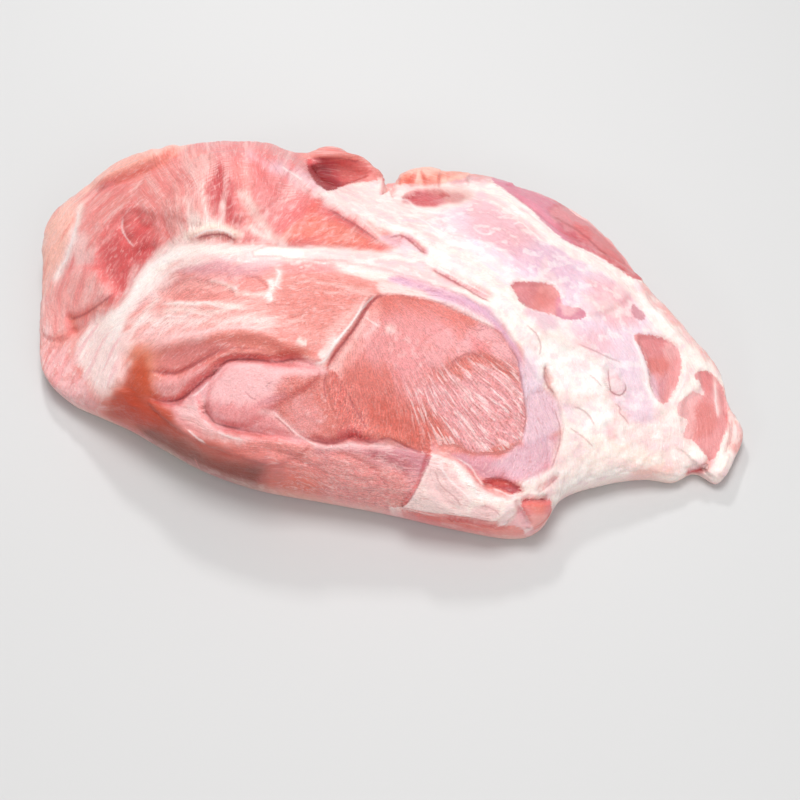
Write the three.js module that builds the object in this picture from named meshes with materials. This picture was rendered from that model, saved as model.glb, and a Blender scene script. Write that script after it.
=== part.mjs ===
// A raw, boneless pork shoulder roast lying on its flat underside.
// Millimetres, +Z up, long side along X, the low wide front edge towards -Y.
// One solid: a top sheet swollen over a closed outline, a tucked rim and a flat base.
import * as THREE from 'three';

// Grid of the top sheet: cells from front to back, and from left to right
const CELLS_ACROSS = 54;
const CELLS_ALONG = 84;
// Rings of the rim's tuck, from the belly line down to the flat base
const TUCK_RINGS = 3;

// Middle of the plan, from which the sheet spreads to the outline
const MIDDLE_X = 20;
const MIDDLE_Y = 20;
// How far each spot height is felt, in mm
const SPOT_REACH = 17;
// Exponent that fills the shoulder of the section beyond its plain squareness
const SHOULDER = 1.6;
// Mean section used to space the rings evenly: squareness, half width and height
const MEAN_SECTION = [3.0, 95, 45];
// The finest half width and rim that this mesh can carry, in mm
const FINEST = 3.2;
const FINEST_RIM = 3.6;
// Steps in each stretch of the outline's curve, of a feature's curve, and of the mean section
const OUTLINE_STEPS = 12;
const FEATURE_STEPS = 6;
const SECTION_STEPS = 2000;
// The inner part of the top follows the outline evened out over this many radians to both sides,
// so that a notch of the rim stays at the rim, which starts at this share of the way out
const EVEN_REACH = 0.2;
const EVEN_STEPS = 7;
const RIM_FROM = 0.7;
// Share of the way in over which mounds and features fade towards the rim
const RIM_FADE = 0.05;
// Share of a line's length over which it fades out at each end
const END_FADE = 0.18;
// Share of a patch's rim that reaches outside its outline
const RIM_SPILL = 0.15;
// Cosine to the eye between which a face turns from the upper side's features to the hidden seams
const HIDDEN_FROM = -0.1;
const SEEN_FROM = 0.12;

// The eye from which the upper face is laid out: it leans back by TILT above level
const EYE = [-0.3, -326.5, 442.2];
const EYE_TILT = 54.2;
const EYE_ROLL = -3.2;

// Closed plan outline, anticlockwise from the narrow right end:
// x, y, height of the belly line, squareness of the section, tuck under the belly
const OUTLINE = [
  // right end and rear right side
  [119.5, 9.5, 7, 2.6, 5], [107.2, 31.5, 8, 2.6, 5], [95, 59, 10, 2.4, 6], [75, 83.5, 10, 2.2, 6],
  [50, 100.5, 10, 2.2, 7], [23, 102.5, 12, 2.6, 8], [1, 99.5, 8, 2.4, 6],
  // rear, under the standing flap and the high lobe
  [-12, 98, 20, 3.2, 8], [-33, 98, 20, 3.0, 8], [-62, 101, 22, 2.6, 10],
  [-102, 104.5, 20, 2.8, 10], [-133, 97.5, 16, 2.8, 8],
  // left end
  [-150, 83, 14, 3.0, 6], [-150.5, 56, 10, 3.0, 5], [-149.5, 30, 9, 3.2, 4], [-146, 10, 9, 3.2, 4],
  // front left, where the side wall stands steepest
  [-135, -4, 10, 3.2, 5], [-122, -13, 12, 3.4, 7], [-109, -22, 16, 3.4, 9],
  [-95, -33, 18, 3.2, 10], [-79, -44, 18, 3.2, 10], [-58, -53.5, 17, 3.2, 9],
  // front, to the small lobe
  [-33, -60, 15, 3.2, 8], [-8, -66.5, 13, 3.0, 7], [15, -73.5, 11, 3.0, 6], [38, -78.5, 8, 3.0, 4],
  [50, -75.5, 8, 3.0, 4], [60, -63, 10, 3.0, 5],
  // front right, and the tips of the right end
  [77, -57.5, 10, 3.2, 5], [92, -56, 9, 3.2, 5], [103, -57, 6, 3.0, 3], [112, -53.5, 5, 3.0, 3],
  [120, -58.5, 5, 3.0, 3], [127, -50, 5, 3.0, 3], [133.5, -37.5, 5, 2.8, 3], [130, -25, 6, 2.8, 4],
  [129, -8.5, 7, 2.6, 5],
];

// Spot heights of the broad upper surface: x, y, z
const SPOTS = [
  // left end
  [-146, 84, 36], [-150, 40, 15], [-135, 10, 14], [-120, 60, 44], [-122, 84, 52], [-105, 30, 40],
  // front left roll and the back of the middle
  [-95, 0, 44], [-88, -30, 40], [-60, -45, 44], [-60, -15, 58], [-60, 15, 62], [-62, 35, 64],
  // high lobe at the rear left
  [-60, 60, 77], [-64, 88, 67], [-95, 60, 64], [-95, 88, 62], [-30, 55, 70],
  // middle
  [-28, 30, 58], [-30, -5, 58], [-25, -50, 44], [0, -60, 40], [0, -20, 52], [5, 15, 54],
  [0, 45, 44], [-5, 75, 32], [-12, 90, 36], [35, -65, 26], [38, -35, 48], [40, 0, 53], [42, 35, 48],
  // right lobe and right end
  [45, 70, 40], [45, 92, 30], [65, -50, 24], [72, -20, 38], [75, 15, 40], [75, 50, 36],
  [95, -45, 17], [98, -15, 28], [100, 15, 30], [100, 40, 26], [122, -45, 10], [120, -20, 18],
];

// Low mounds and dips along the rear rim: x, y, height, reach along x, reach along y
const MOUNDS = [[-23, 93, 15, 12, 9], [-3.5, 95, -6, 3, 10], [13, 96, 6, 10, 8], [-114, 95, 4, 16, 10]];

// Grooves (minus) and ridges (plus) of the upper face, as paths on the picture plane:
// amount in mm, half width in mm, then the path's points
const LINES = {
  lobeFoot: [-1.6, 2.2, [[-141, 29], [-118, 38], [-108, 53], [-97, 62.5], [-76, 65.5], [-30, 63], [4, 58]]],
  stripGroove: [-1.4, 1.6, [[-131, 79], [-122, 88], [-105, 95], [-92, 102], [-87, 104.5]]],
  strip: [3.2, 3.2, [[-127, 88], [-111, 97], [-94, 104], [-89, 105.5]]],
  lip: [1.6, 2, [[-88, 66.5], [-83, 70], [-78, 71.5], [-71, 70.3], [-65.5, 66.5]]],
  eyeSlit: [-0.8, 1.3, [[-87, 65.6], [-80, 67.6], [-75, 68.3], [-70, 67], [-66, 65.2]]],
  lobeStreak: [-1.4, 1.8, [[-50, 64], [-57, 72], [-63, 79], [-66, 84], [-68, 92]]],
  slit: [-1.2, 1.8, [[-8, 67.5], [-1, 67.5], [5, 65], [12, 60]]],
  notch: [-4.5, 2.2, [[-4, 92], [-4.5, 87], [-6, 83]]],
  flap: [4, 2.6, [[-38, 99], [-32, 101.5], [-24, 102], [-17, 100], [-11, 95], [-6, 89.5], [-3, 86]]],
  rearLobeLeft: [2.4, 3.2, [[-1, 91.5], [3, 92.5], [6, 91.5]]],
  rearLobeRight: [2.4, 3.2, [[9, 92], [13, 93], [17, 92.5]]],
  ridge: [3.4, 4.6, [[-106, 19], [-100, 22], [-80, 27], [-65, 28.6], [-52, 26.5], [-44, 22.5], [-33, 20]]],
  secondRoll: [1.6, 2.6, [[-104, 7], [-96, 6.5], [-88, 8.5], [-81, 13.5], [-74, 19], [-52, 18.5]]],
  upperCrease: [-1.9, 1.4, [[-103, 12.5], [-92, 11], [-86, 13.7], [-75, 20], [-69, 21]]],
  longCrease: [-2.6, 1.6, [[-106, 3], [-94, -0.6], [-90, 0.5], [-80, 9], [-70, 16.3], [-50, 15.8],
    [-31, 13]]],
  crossCrease: [-1.3, 1.4, [[-33, 12.5], [-30, 13.5], [-24, 22], [-16, 35], [-7, 44]]],
  endGroove: [-1.6, 2, [[-113, 24], [-114, 15], [-112, 6], [-107, 0]]],
  foldDown: [-1.3, 1.5, [[-79, 2], [-80.5, -4], [-71, -11], [-60, -13], [-41, -16]]],
  foldMiddle: [-0.8, 1.4, [[-60, -6], [-53, -4], [-42, -14], [-37, -17]]],
  wallEdge: [1, 2.6, [[-106, 0], [-92, -11], [-76, -21], [-54, -28], [-44, -33]]],
  underOval: [-1.6, 1.4, [[-40, -15], [-31, -17.5], [-20, -15.5], [-9, -17]]],
  ovalFoot: [-0.8, 1.4, [[13, -18], [30, -22.6], [40, -22.6], [47, -19.5]]],
  flapFoot: [-1.8, 1.4, [[-1, -45.5], [22, -50.5], [42, -52.5], [50, -50]]],
  lobeGap: [-2, 1.4, [[49, -40], [49.5, -45], [52, -50], [54, -53]]],
  fatGroove: [-0.9, 2, [[10, 57], [20, 50.5], [30, 45], [39, 41]]],
  fatRidge: [1.5, 3.6, [[-30, 82], [-12, 77], [6, 70], [20, 58], [34, 50], [45, 41], [53, 31]]],
  fatRidgeRight: [1.5, 2.6, [[52, 36], [62, 28], [74, 22], [84, 16], [88, 8]]],
  fatCrease: [-0.9, 1.6, [[86, 14], [86, 6], [93, 0.5], [94, -7], [92, -10]]],
  whiteLine: [1.2, 1.6, [[36, 91], [50, 78.5], [70, 64.5], [95, 51.5], [102, 41], [130, 11]]],
  sideGroove: [-1.6, 1.6, [[41, 90], [58, 77], [75, 65], [96, 53]]],
  tipGroove: [-1.8, 1.4, [[134, -4], [136.5, -11], [136, -18], [133.5, -24]]],
  redGap: [-3, 1.4, [[117, -30.5], [121, -30], [126, -28], [129, -24]]],
  leftCrease: [-2, 1.4, [[-137, 33], [-130, 35.3], [-125, 38.3], [-119, 41]]],
};

// Swellings (plus) and dishes (minus) of the upper face, as closed outlines on the picture plane:
// amount in mm, width of the rim in mm, then the outline's points
const PATCHES = {
  oval: [-0.7, 2, [[-14, 39], [-5, 43.5], [15, 40.5], [37, 30], [49, 15], [52, -8], [48, -19], [30, -21.5],
    [12, -21], [-5, -17], [-22, -15], [-30, 5], [-25, 20]]],
  ovalUpper: [0.9, 2, [[16, 12], [32, 18.5], [51, 9], [45, 23], [30, 34], [8, 22]]],
  membrane: [2.6, 4.5, [[-76, 9], [-68, 15], [-50, 14], [-34, 11.5], [-50, -1], [-62, -9], [-74, -9],
    [-79, -2]]],
  lowRoll: [1.6, 3.5, [[-104, -1], [-84, 2], [-76, -11], [-45, -17], [-52, -27], [-66, -24],
    [-94, -11]]],
  whiteFlap: [2.4, 2.4, [[12, -22], [25, -26], [35, -37], [50, -40], [45, -50], [30, -50], [1, -45],
    [8, -33]]],
  pocket: [-2.2, 1.6, [[34, -35.5], [42, -33], [46, -34.5], [51.5, -38.5], [40, -37]]],
  frontLobe: [1.8, 2.2, [[51, -43], [62, -42], [63, -46], [60, -51], [54, -54], [50.5, -48]]],
  lilac: [-0.6, 1.6, [[47, -18], [53, 2], [62, 3], [67.5, -13], [61, -29], [34, -33], [20, -22],
    [34, -23]]],
  hollow: [-3, 3, [[-36, 96], [-31, 87.5], [-22, 88.5], [-14, 93], [-28, 98.5]]],
  dent: [-3.2, 2.4, [[1, 83], [5, 86], [18, 86], [20, 83], [14, 80.3], [7, 80]]],
  windowLeft: [-1.3, 1.6, [[46, 48], [61, 48], [66, 42], [61, 36.5], [49, 41]]],
  windowRight: [-1.3, 1.6, [[98, 26], [112, 24], [116, 19], [110, -1], [103.5, 8]]],
  windowEnd: [-1.2, 2, [[123, 12], [133, 5], [135, -12], [129, -26], [118, -17], [118, 1]]],
  redFace: [-1.6, 6, [[-125, 60], [-120, 72], [-100, 76], [-93, 69], [-113, 46], [-120, 46]]],
  leftBulge: [2, 5, [[-147, 28], [-147, 45], [-128, 55], [-118, 47], [-132, 34]]],
  peak: [1.6, 7, [[-96, 80], [-88, 97], [-58, 101], [-50, 92], [-70, 74]]],
  saddle: [1.4, 5, [[-52, 66], [-36, 86], [-18, 72], [-8, 64], [-30, 64]]],
  rightLobe: [1.4, 8, [[20, 80], [40, 84], [84, 54], [94, 44], [66, 42], [34, 60]]],
};

// Seams between the muscles of the hidden side: depth, half width as a share, spacing in mm
const SEAM_DEPTH = 2.4;
const SEAM_HALF = 0.24;
const SEAM_SPACING = 21;

// A smooth step from 0 at low to 1 at high
function smooth(low, high, v) {
  const t = Math.min(1, Math.max(0, (v - low) / (high - low)));
  return t * t * (3 - 2 * t);
}

// One Catmull-Rom stretch between b and c, at share t, for any number of columns
function between(a, b, c, d, t) {
  return b.map((_, k) => 0.5 * (2 * b[k] + (c[k] - a[k]) * t
    + (2 * a[k] - 5 * b[k] + 4 * c[k] - d[k]) * t * t
    + (3 * b[k] - a[k] - 3 * c[k] + d[k]) * t * t * t));
}

// A smooth curve through the points, closed or open, with a number of steps in each stretch
function curve(points, closed, steps) {
  const n = points.length;
  const at = (i) => {
    if (closed) return points[(i + n) % n];
    if (i < 0) return points[0].map((v, k) => 2 * v - points[1][k]);
    if (i > n - 1) return points[n - 1].map((v, k) => 2 * v - points[n - 2][k]);
    return points[i];
  };
  const out = [];
  for (let i = 0; i < (closed ? n : n - 1); i += 1) {
    for (let s = 0; s < steps; s += 1) {
      out.push(between(at(i - 1), at(i), at(i + 1), at(i + 2), s / steps));
    }
  }
  out.push(closed ? out[0] : points[n - 1]);
  return out;
}

// The running length at every point of a curve in plan
function running(path) {
  const run = [0];
  for (let i = 1; i < path.length; i += 1) {
    run.push(run[i - 1] + Math.hypot(path[i][0] - path[i - 1][0], path[i][1] - path[i - 1][1]));
  }
  return run;
}

// The value at x of a line through the pairs (xs, ys), xs rising
function lookUp(x, xs, ys) {
  let low = 0;
  let high = xs.length - 1;
  while (high - low > 1) {
    const mid = (low + high) >> 1;
    if (xs[mid] <= x) low = mid;
    else high = mid;
  }
  const t = Math.min(1, Math.max(0, (x - xs[low]) / (xs[high] - xs[low] || 1)));
  return ys[low] + (ys[high] - ys[low]) * t;
}

const RING = curve(OUTLINE, true, OUTLINE_STEPS);
const RING_RUN = running(RING);

// The outline's row at a turn round the plan, spaced by length: 0 is the narrow right end
function outlineAt(turn) {
  const whole = 2 * Math.PI;
  const run = (((turn % whole) + whole) % whole) / whole * RING_RUN[RING_RUN.length - 1];
  return [0, 1, 2, 3, 4].map((k) => lookUp(run, RING_RUN, RING.map((row) => row[k])));
}

// Mean place of the outline over a stretch to both sides of a turn
function evenOutlineAt(turn) {
  let sumX = 0;
  let sumY = 0;
  for (let k = 0; k < EVEN_STEPS; k += 1) {
    const [x, y] = outlineAt(turn + EVEN_REACH * ((2 * k) / (EVEN_STEPS - 1) - 1));
    sumX += x;
    sumY += y;
  }
  return [sumX / EVEN_STEPS, sumY / EVEN_STEPS];
}

// Height of the broad upper surface: the spots' mean, weighed by nearness
function broadTop(x, y) {
  let sum = 0;
  let weight = 0;
  for (const [sx, sy, sz] of SPOTS) {
    const w = Math.exp(-((x - sx) ** 2 + (y - sy) ** 2) / (2 * SPOT_REACH ** 2)) + 1e-9;
    sum += w * sz;
    weight += w;
  }
  return sum / weight;
}

// Share of the way out for rings that are evenly spaced over the mean section
function evenShares(steps) {
  const [square, halfWidth, height] = MEAN_SECTION;
  const shares = [];
  const section = [];
  for (let i = 0; i <= steps; i += 1) {
    const t = i / steps;
    shares.push(t);
    section.push([t * halfWidth, height * (1 - t ** square) ** (1 / square)]);
  }
  const run = running(section);
  return [run.map((r) => r / run[steps]), shares];
}

const [EVEN_RUN, EVEN_SHARE] = evenShares(SECTION_STEPS);

// The bearing of a point (a, b) of the square that is wrapped onto the round plan
function turnOf(a, b) {
  if (a === 0 && b === 0) return 0;
  const wide = Math.abs(a) >= Math.abs(b);
  const turn = wide ? (Math.PI / 4) * (b / a) : Math.PI / 2 - (Math.PI / 4) * (a / b);
  return (wide ? a : b) < 0 ? turn + Math.PI : turn;
}

// A point of the broad form, for (a, b) in the square from -1 to 1
function broadPoint(a, b) {
  const way = Math.max(Math.abs(a), Math.abs(b));
  const turn = turnOf(a, b);
  const [ox, oy, belly, square] = outlineAt(turn);
  const [evenX, evenY] = evenOutlineAt(turn);
  const share = way >= 1 ? 1 : lookUp(way, EVEN_RUN, EVEN_SHARE);
  const inner = 1 - smooth(RIM_FROM, 1, share);
  const x = MIDDLE_X + share * (ox + (evenX - ox) * inner - MIDDLE_X);
  const y = MIDDLE_Y + share * (oy + (evenY - oy) * inner - MIDDLE_Y);
  const rise = (1 - share ** (square * SHOULDER)) ** (1 / square);
  let z = belly + (broadTop(x, y) - belly) * rise;
  for (const [mx, my, height, reachX, reachY] of MOUNDS) {
    const near = Math.exp(-(((x - mx) / reachX) ** 2) - ((y - my) / reachY) ** 2);
    z += height * near * Math.min(1, (1 - share) / RIM_FADE);
  }
  return new THREE.Vector3(x, y, z);
}

// The eye's own directions: ahead, to its right and up, with its roll
const TILT = THREE.MathUtils.degToRad(EYE_TILT);
const ROLL = THREE.MathUtils.degToRad(EYE_ROLL);
const AHEAD = new THREE.Vector3(0, Math.cos(TILT), -Math.sin(TILT));
const LEVEL = new THREE.Vector3(1, 0, 0);
const UPRIGHT = new THREE.Vector3().crossVectors(LEVEL, AHEAD);
const RIGHT = LEVEL.clone().multiplyScalar(Math.cos(ROLL)).addScaledVector(UPRIGHT, Math.sin(ROLL));
const UP = LEVEL.clone().multiplyScalar(-Math.sin(ROLL)).addScaledVector(UPRIGHT, Math.cos(ROLL));
const EYE_AT = new THREE.Vector3(...EYE);
const EYE_FAR = EYE_AT.length();

// Where a point shows on the picture plane, in mm
function drawn(point) {
  const to = point.clone().sub(EYE_AT);
  const scale = EYE_FAR / to.dot(AHEAD);
  return [to.dot(RIGHT) * scale, to.dot(UP) * scale];
}

// Distance from (p, q) to a path, and the share of its length at the nearest point
function nearest(p, q, path, run) {
  let best = Infinity;
  let share = 0;
  for (let i = 0; i < path.length - 1; i += 1) {
    const [ax, ay] = path[i];
    const dx = path[i + 1][0] - ax;
    const dy = path[i + 1][1] - ay;
    const t = Math.min(1, Math.max(0, ((p - ax) * dx + (q - ay) * dy) / (dx * dx + dy * dy + 1e-9)));
    const far = Math.hypot(p - ax - t * dx, q - ay - t * dy);
    if (far < best) {
      best = far;
      share = (run[i] + t * (run[i + 1] - run[i])) / run[run.length - 1];
    }
  }
  return [best, share];
}

// Distance from (p, q) to a closed outline, plus inside it and minus outside
function depthInside(p, q, outline, run) {
  const [far] = nearest(p, q, outline, run);
  let within = false;
  for (let i = 0; i < outline.length - 1; i += 1) {
    const [ax, ay] = outline[i];
    const [bx, by] = outline[i + 1];
    if ((ay > q) !== (by > q) && p < ((bx - ax) * (q - ay)) / (by - ay) + ax) within = !within;
  }
  return within ? far : -far;
}

// The features with their smooth curves and running lengths.
// One that is narrower than the mesh can carry is made wider and lower.
const lines = Object.values(LINES).map(([amount, half, points]) => {
  const path = curve(points, false, FEATURE_STEPS);
  const wide = Math.max(half, FINEST);
  return { amount: amount * Math.sqrt(half / wide), half: wide, path, run: running(path) };
});
const patches = Object.values(PATCHES).map(([amount, rim, points]) => {
  const path = curve(points, true, FEATURE_STEPS);
  const wide = Math.max(rim, FINEST_RIM);
  return { amount: amount * Math.sqrt(rim / wide), rim: wide, path, run: running(path) };
});

// Relief of the upper face at (p, q): the sum of all its ridges, grooves, swellings and dishes
function relief(p, q) {
  let height = 0;
  for (const line of lines) {
    const [far, share] = nearest(p, q, line.path, line.run);
    const ends = smooth(0, END_FADE, share) * smooth(0, END_FADE, 1 - share);
    height += line.amount * Math.exp(-((far / line.half) ** 2)) * ends;
  }
  for (const patch of patches) {
    const deep = depthInside(p, q, patch.path, patch.run);
    const t = Math.min(1, Math.max(0, deep / patch.rim + RIM_SPILL));
    height += patch.amount * Math.sqrt(1 - (1 - t) ** 2);
  }
  return height;
}

// Long seams of the hidden side, running round the rear between the muscles
function seams(point) {
  const { x, y, z } = point;
  const across = 1.1 * z + 0.35 * y + 0.12 * x + 7 * Math.sin(x / 29) + 4 * Math.sin(x / 13 + 1);
  const wave = Math.sin((Math.PI * across) / SEAM_SPACING);
  return -SEAM_DEPTH * Math.exp(-((wave / SEAM_HALF) ** 2));
}

// The broad form's grid, its normals, and then every feature along them
function topSheet() {
  const rows = [];
  for (let j = 0; j <= CELLS_ACROSS; j += 1) {
    const row = [];
    for (let i = 0; i <= CELLS_ALONG; i += 1) {
      row.push(broadPoint((2 * i) / CELLS_ALONG - 1, (2 * j) / CELLS_ACROSS - 1));
    }
    rows.push(row);
  }
  const clampRow = (j) => Math.min(CELLS_ACROSS, Math.max(0, j));
  const clampCell = (i) => Math.min(CELLS_ALONG, Math.max(0, i));
  return rows.map((row, j) => row.map((point, i) => {
    const along = row[clampCell(i + 1)].clone().sub(row[clampCell(i - 1)]);
    const across = rows[clampRow(j + 1)][i].clone().sub(rows[clampRow(j - 1)][i]);
    const normal = along.cross(across).normalize();
    const toEye = EYE_AT.clone().sub(point).normalize();
    const facing = smooth(HIDDEN_FROM, SEEN_FROM, normal.dot(toEye));
    const way = Math.max(Math.abs((2 * i) / CELLS_ALONG - 1), Math.abs((2 * j) / CELLS_ACROSS - 1));
    const keep = smooth(0, RIM_FADE, 1 - way);
    let moved = point;
    for (let pass = 0; pass < 2; pass += 1) {
      const [p, q] = drawn(moved);
      const height = relief(p, q) * facing + seams(point) * (1 - facing);
      moved = point.clone().addScaledVector(normal, height * keep);
    }
    return moved;
  }));
}

// The rim cells of the sheet, anticlockwise from the front right corner
function rimCells() {
  const cells = [];
  for (let j = 0; j < CELLS_ACROSS; j += 1) cells.push([j, CELLS_ALONG]);
  for (let i = CELLS_ALONG; i > 0; i -= 1) cells.push([CELLS_ACROSS, i]);
  for (let j = CELLS_ACROSS; j > 0; j -= 1) cells.push([j, 0]);
  for (let i = 0; i < CELLS_ALONG; i += 1) cells.push([0, i]);
  return cells;
}

// The closed mesh: top sheet, tucked rim and flat base
function shoulder() {
  const sheet = topSheet();
  const points = sheet.flat();
  const width = CELLS_ALONG + 1;
  const faces = [];
  for (let j = 0; j < CELLS_ACROSS; j += 1) {
    for (let i = 0; i < CELLS_ALONG; i += 1) {
      const a = j * width + i;
      const b = a + 1;
      const c = a + width + 1;
      const d = a + width;
      // the shorter diagonal keeps the creases crisp
      if (points[a].distanceTo(points[c]) < points[b].distanceTo(points[d])) faces.push(a, b, c, a, c, d);
      else faces.push(a, b, d, b, c, d);
    }
  }
  const cells = rimCells();
  const count = cells.length;
  const turnOfCell = ([j, i]) => turnOf((2 * i) / CELLS_ALONG - 1, (2 * j) / CELLS_ACROSS - 1);
  const rim = cells.map((cell) => outlineAt(turnOfCell(cell)));
  let above = cells.map(([j, i]) => j * width + i);
  for (let ring = 1; ring <= TUCK_RINGS; ring += 1) {
    const bend = ((Math.PI / 2) * ring) / TUCK_RINGS;
    const start = points.length;
    rim.forEach(([x, y, belly, , tuck], k) => {
      const next = rim[(k + 1) % count];
      const last = rim[(k + count - 1) % count];
      const gx = next[0] - last[0];
      const gy = next[1] - last[1];
      const inward = (tuck * (1 - Math.cos(bend))) / Math.hypot(gx, gy);
      points.push(new THREE.Vector3(x - gy * inward, y + gx * inward, belly * (1 - Math.sin(bend))));
    });
    for (let k = 0; k < count; k += 1) {
      const m = (k + 1) % count;
      faces.push(above[k], start + k, start + m, above[k], start + m, above[m]);
    }
    above = cells.map((_, k) => start + k);
  }
  const middle = points.length;
  points.push(new THREE.Vector3(MIDDLE_X, MIDDLE_Y, 0));
  for (let k = 0; k < count; k += 1) faces.push(above[k], middle, above[(k + 1) % count]);
  // the origin goes to the middle of the plan's box, on the base
  const box = new THREE.Box3().setFromPoints(points);
  const shift = new THREE.Vector3(-(box.min.x + box.max.x) / 2, -(box.min.y + box.max.y) / 2, -box.min.z);
  for (const point of points) point.add(shift);
  const geometry = new THREE.BufferGeometry().setFromPoints(points);
  geometry.setIndex(faces);
  geometry.computeVertexNormals();
  return geometry;
}

const flesh = new THREE.MeshStandardMaterial({ color: 0xe09a92, roughness: 0.42, metalness: 0 });
const roast = new THREE.Mesh(shoulder(), flesh);
roast.name = 'pork_shoulder';

const group = new THREE.Group();
group.name = 'pork_shoulder_roast';
group.add(roast);

export default group;
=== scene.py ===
# %% [markdown]
# # A raw pork shoulder roast
# This lesson builds one raw, boneless pork shoulder roast as a single sculpted surface.
# The real cut is a soft slab of several muscles. Fat, silverskin and thin membranes hold them together.
# It could be sculpted by hand or scanned. Here every form is a named path or outline with a size in
# millimetres, and numpy works out the whole surface at once, so each crease can be moved by its name.

# %% The frame that the roast must fit
import math
import bpy
import numpy as np
from mathutils import Matrix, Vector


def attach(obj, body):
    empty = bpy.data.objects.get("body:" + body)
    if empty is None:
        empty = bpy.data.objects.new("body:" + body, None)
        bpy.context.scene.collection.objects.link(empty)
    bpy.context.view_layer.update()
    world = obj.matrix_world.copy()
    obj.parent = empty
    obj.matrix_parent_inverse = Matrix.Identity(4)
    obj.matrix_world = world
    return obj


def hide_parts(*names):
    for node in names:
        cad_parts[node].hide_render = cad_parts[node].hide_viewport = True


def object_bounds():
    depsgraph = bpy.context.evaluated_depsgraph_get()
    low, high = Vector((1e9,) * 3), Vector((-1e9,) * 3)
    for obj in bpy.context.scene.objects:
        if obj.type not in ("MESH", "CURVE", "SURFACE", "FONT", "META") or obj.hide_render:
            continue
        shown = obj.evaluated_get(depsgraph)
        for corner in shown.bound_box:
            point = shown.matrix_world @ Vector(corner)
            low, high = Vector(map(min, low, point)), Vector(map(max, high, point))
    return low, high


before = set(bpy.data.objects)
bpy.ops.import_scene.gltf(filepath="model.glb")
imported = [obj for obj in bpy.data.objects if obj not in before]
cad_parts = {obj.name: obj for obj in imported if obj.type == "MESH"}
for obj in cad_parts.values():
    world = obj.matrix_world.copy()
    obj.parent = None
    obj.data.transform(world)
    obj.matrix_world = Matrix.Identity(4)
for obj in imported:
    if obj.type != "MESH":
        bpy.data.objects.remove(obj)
cad_low, cad_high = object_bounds()
print("frame box in mm", [round(1000 * v, 1) for v in (*cad_low, *cad_high)])

# %% [markdown]
# ## Where the eye is
# The upper face of a real cut is read from one side, so its creases are drawn as a map on a flat sheet
# that faces the eye. The map's p runs to the right and q runs up, both in millimetres, and it passes
# through the middle of the roast. A point of the surface looks up its place on the map along its line of
# sight. Painting on a map is simpler than painting on the curved form, and the view is where it is judged.

# %% The eye and its map
EYE = np.array([-0.3, -326.5, 442.2])
EYE_TILT, EYE_ROLL = math.radians(54.2), math.radians(-3.2)
AHEAD = np.array([0, math.cos(EYE_TILT), -math.sin(EYE_TILT)])
LEVEL = np.array([1.0, 0, 0])
UPRIGHT = np.cross(LEVEL, AHEAD)
RIGHT = math.cos(EYE_ROLL) * LEVEL + math.sin(EYE_ROLL) * UPRIGHT
UP = -math.sin(EYE_ROLL) * LEVEL + math.cos(EYE_ROLL) * UPRIGHT


def drawn(points):
    """Place on the map: the offset from the eye along its right and up, scaled by the eye's distance
    from the origin over the offset ahead."""
    to = points - EYE
    scale = np.linalg.norm(EYE) / (to @ AHEAD)
    return (to @ RIGHT) * scale, (to @ UP) * scale


p0, q0 = drawn(np.array([[0.0, 0, 0]]))
print("the origin is drawn at", round(float(p0[0]), 2), round(float(q0[0]), 2))

# %% [markdown]
# ## The plan outline
# Seen from above the cut is broad at the left, tapers to a thin end at the right, and steps back in
# front where one muscle ends in a small lobe. A closed smooth curve runs through a few measured points.
# Each point also says how high the side bellies out, how square the section is, and how far the side
# tucks in below. One curve that carries five values keeps the side's form and its plan together.

# %% Points of the outline
# x, y, height of the belly line, squareness of the section, tuck under the belly
OUTLINE = np.array([
    [119.5, 9.5, 7, 2.6, 5], [107.2, 31.5, 8, 2.6, 5], [95, 59, 10, 2.4, 6], [75, 83.5, 10, 2.2, 6],
    [50, 100.5, 10, 2.2, 7], [23, 102.5, 12, 2.6, 8], [1, 99.5, 8, 2.4, 6],
    [-12, 98, 20, 3.2, 8], [-33, 98, 20, 3.0, 8], [-62, 101, 22, 2.6, 10],
    [-102, 104.5, 20, 2.8, 10], [-133, 97.5, 16, 2.8, 8],
    [-150, 83, 14, 3.0, 6], [-150.5, 56, 10, 3.0, 5], [-149.5, 30, 9, 3.2, 4], [-146, 10, 9, 3.2, 4],
    [-135, -4, 10, 3.2, 5], [-122, -13, 12, 3.4, 7], [-109, -22, 16, 3.4, 9],
    [-95, -33, 18, 3.2, 10], [-79, -44, 18, 3.2, 10], [-58, -53.5, 17, 3.2, 9],
    [-33, -60, 15, 3.2, 8], [-8, -66.5, 13, 3.0, 7], [15, -73.5, 11, 3.0, 6], [38, -78.5, 8, 3.0, 4],
    [50, -75.5, 8, 3.0, 4], [60, -63, 10, 3.0, 5],
    [77, -57.5, 10, 3.2, 5], [92, -56, 9, 3.2, 5], [103, -57, 6, 3.0, 3], [112, -53.5, 5, 3.0, 3],
    [120, -58.5, 5, 3.0, 3], [127, -50, 5, 3.0, 3], [133.5, -37.5, 5, 2.8, 3],
    [130, -25, 6, 2.8, 4], [129, -8.5, 7, 2.6, 5],
], float)
MIDDLE = np.array([20.0, 20.0])


def curve(points, closed, steps):
    """A Catmull-Rom curve: between two points the value is a cubic whose slope at each point is half
    the difference of its neighbours. The points are rows, or one list with p and q in turn."""
    rows = np.asarray(points, float)
    if rows.ndim == 1:
        rows = rows.reshape(-1, 2)
    if closed:
        rows = np.vstack([rows[-1:], rows, rows[:2]])
    else:
        rows = np.vstack([2 * rows[:1] - rows[1:2], rows, 2 * rows[-1:] - rows[-2:-1]])
    t = (np.arange(steps) / steps)[None, :, None]
    a, b, c, d = rows[:-3, None], rows[1:-2, None], rows[2:-1, None], rows[3:, None]
    out = 0.5 * (2 * b + (c - a) * t + (2 * a - 5 * b + 4 * c - d) * t**2 + (3 * b - a - 3 * c + d) * t**3)
    return np.vstack([out.reshape(-1, rows.shape[1]), rows[-2]])


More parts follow.
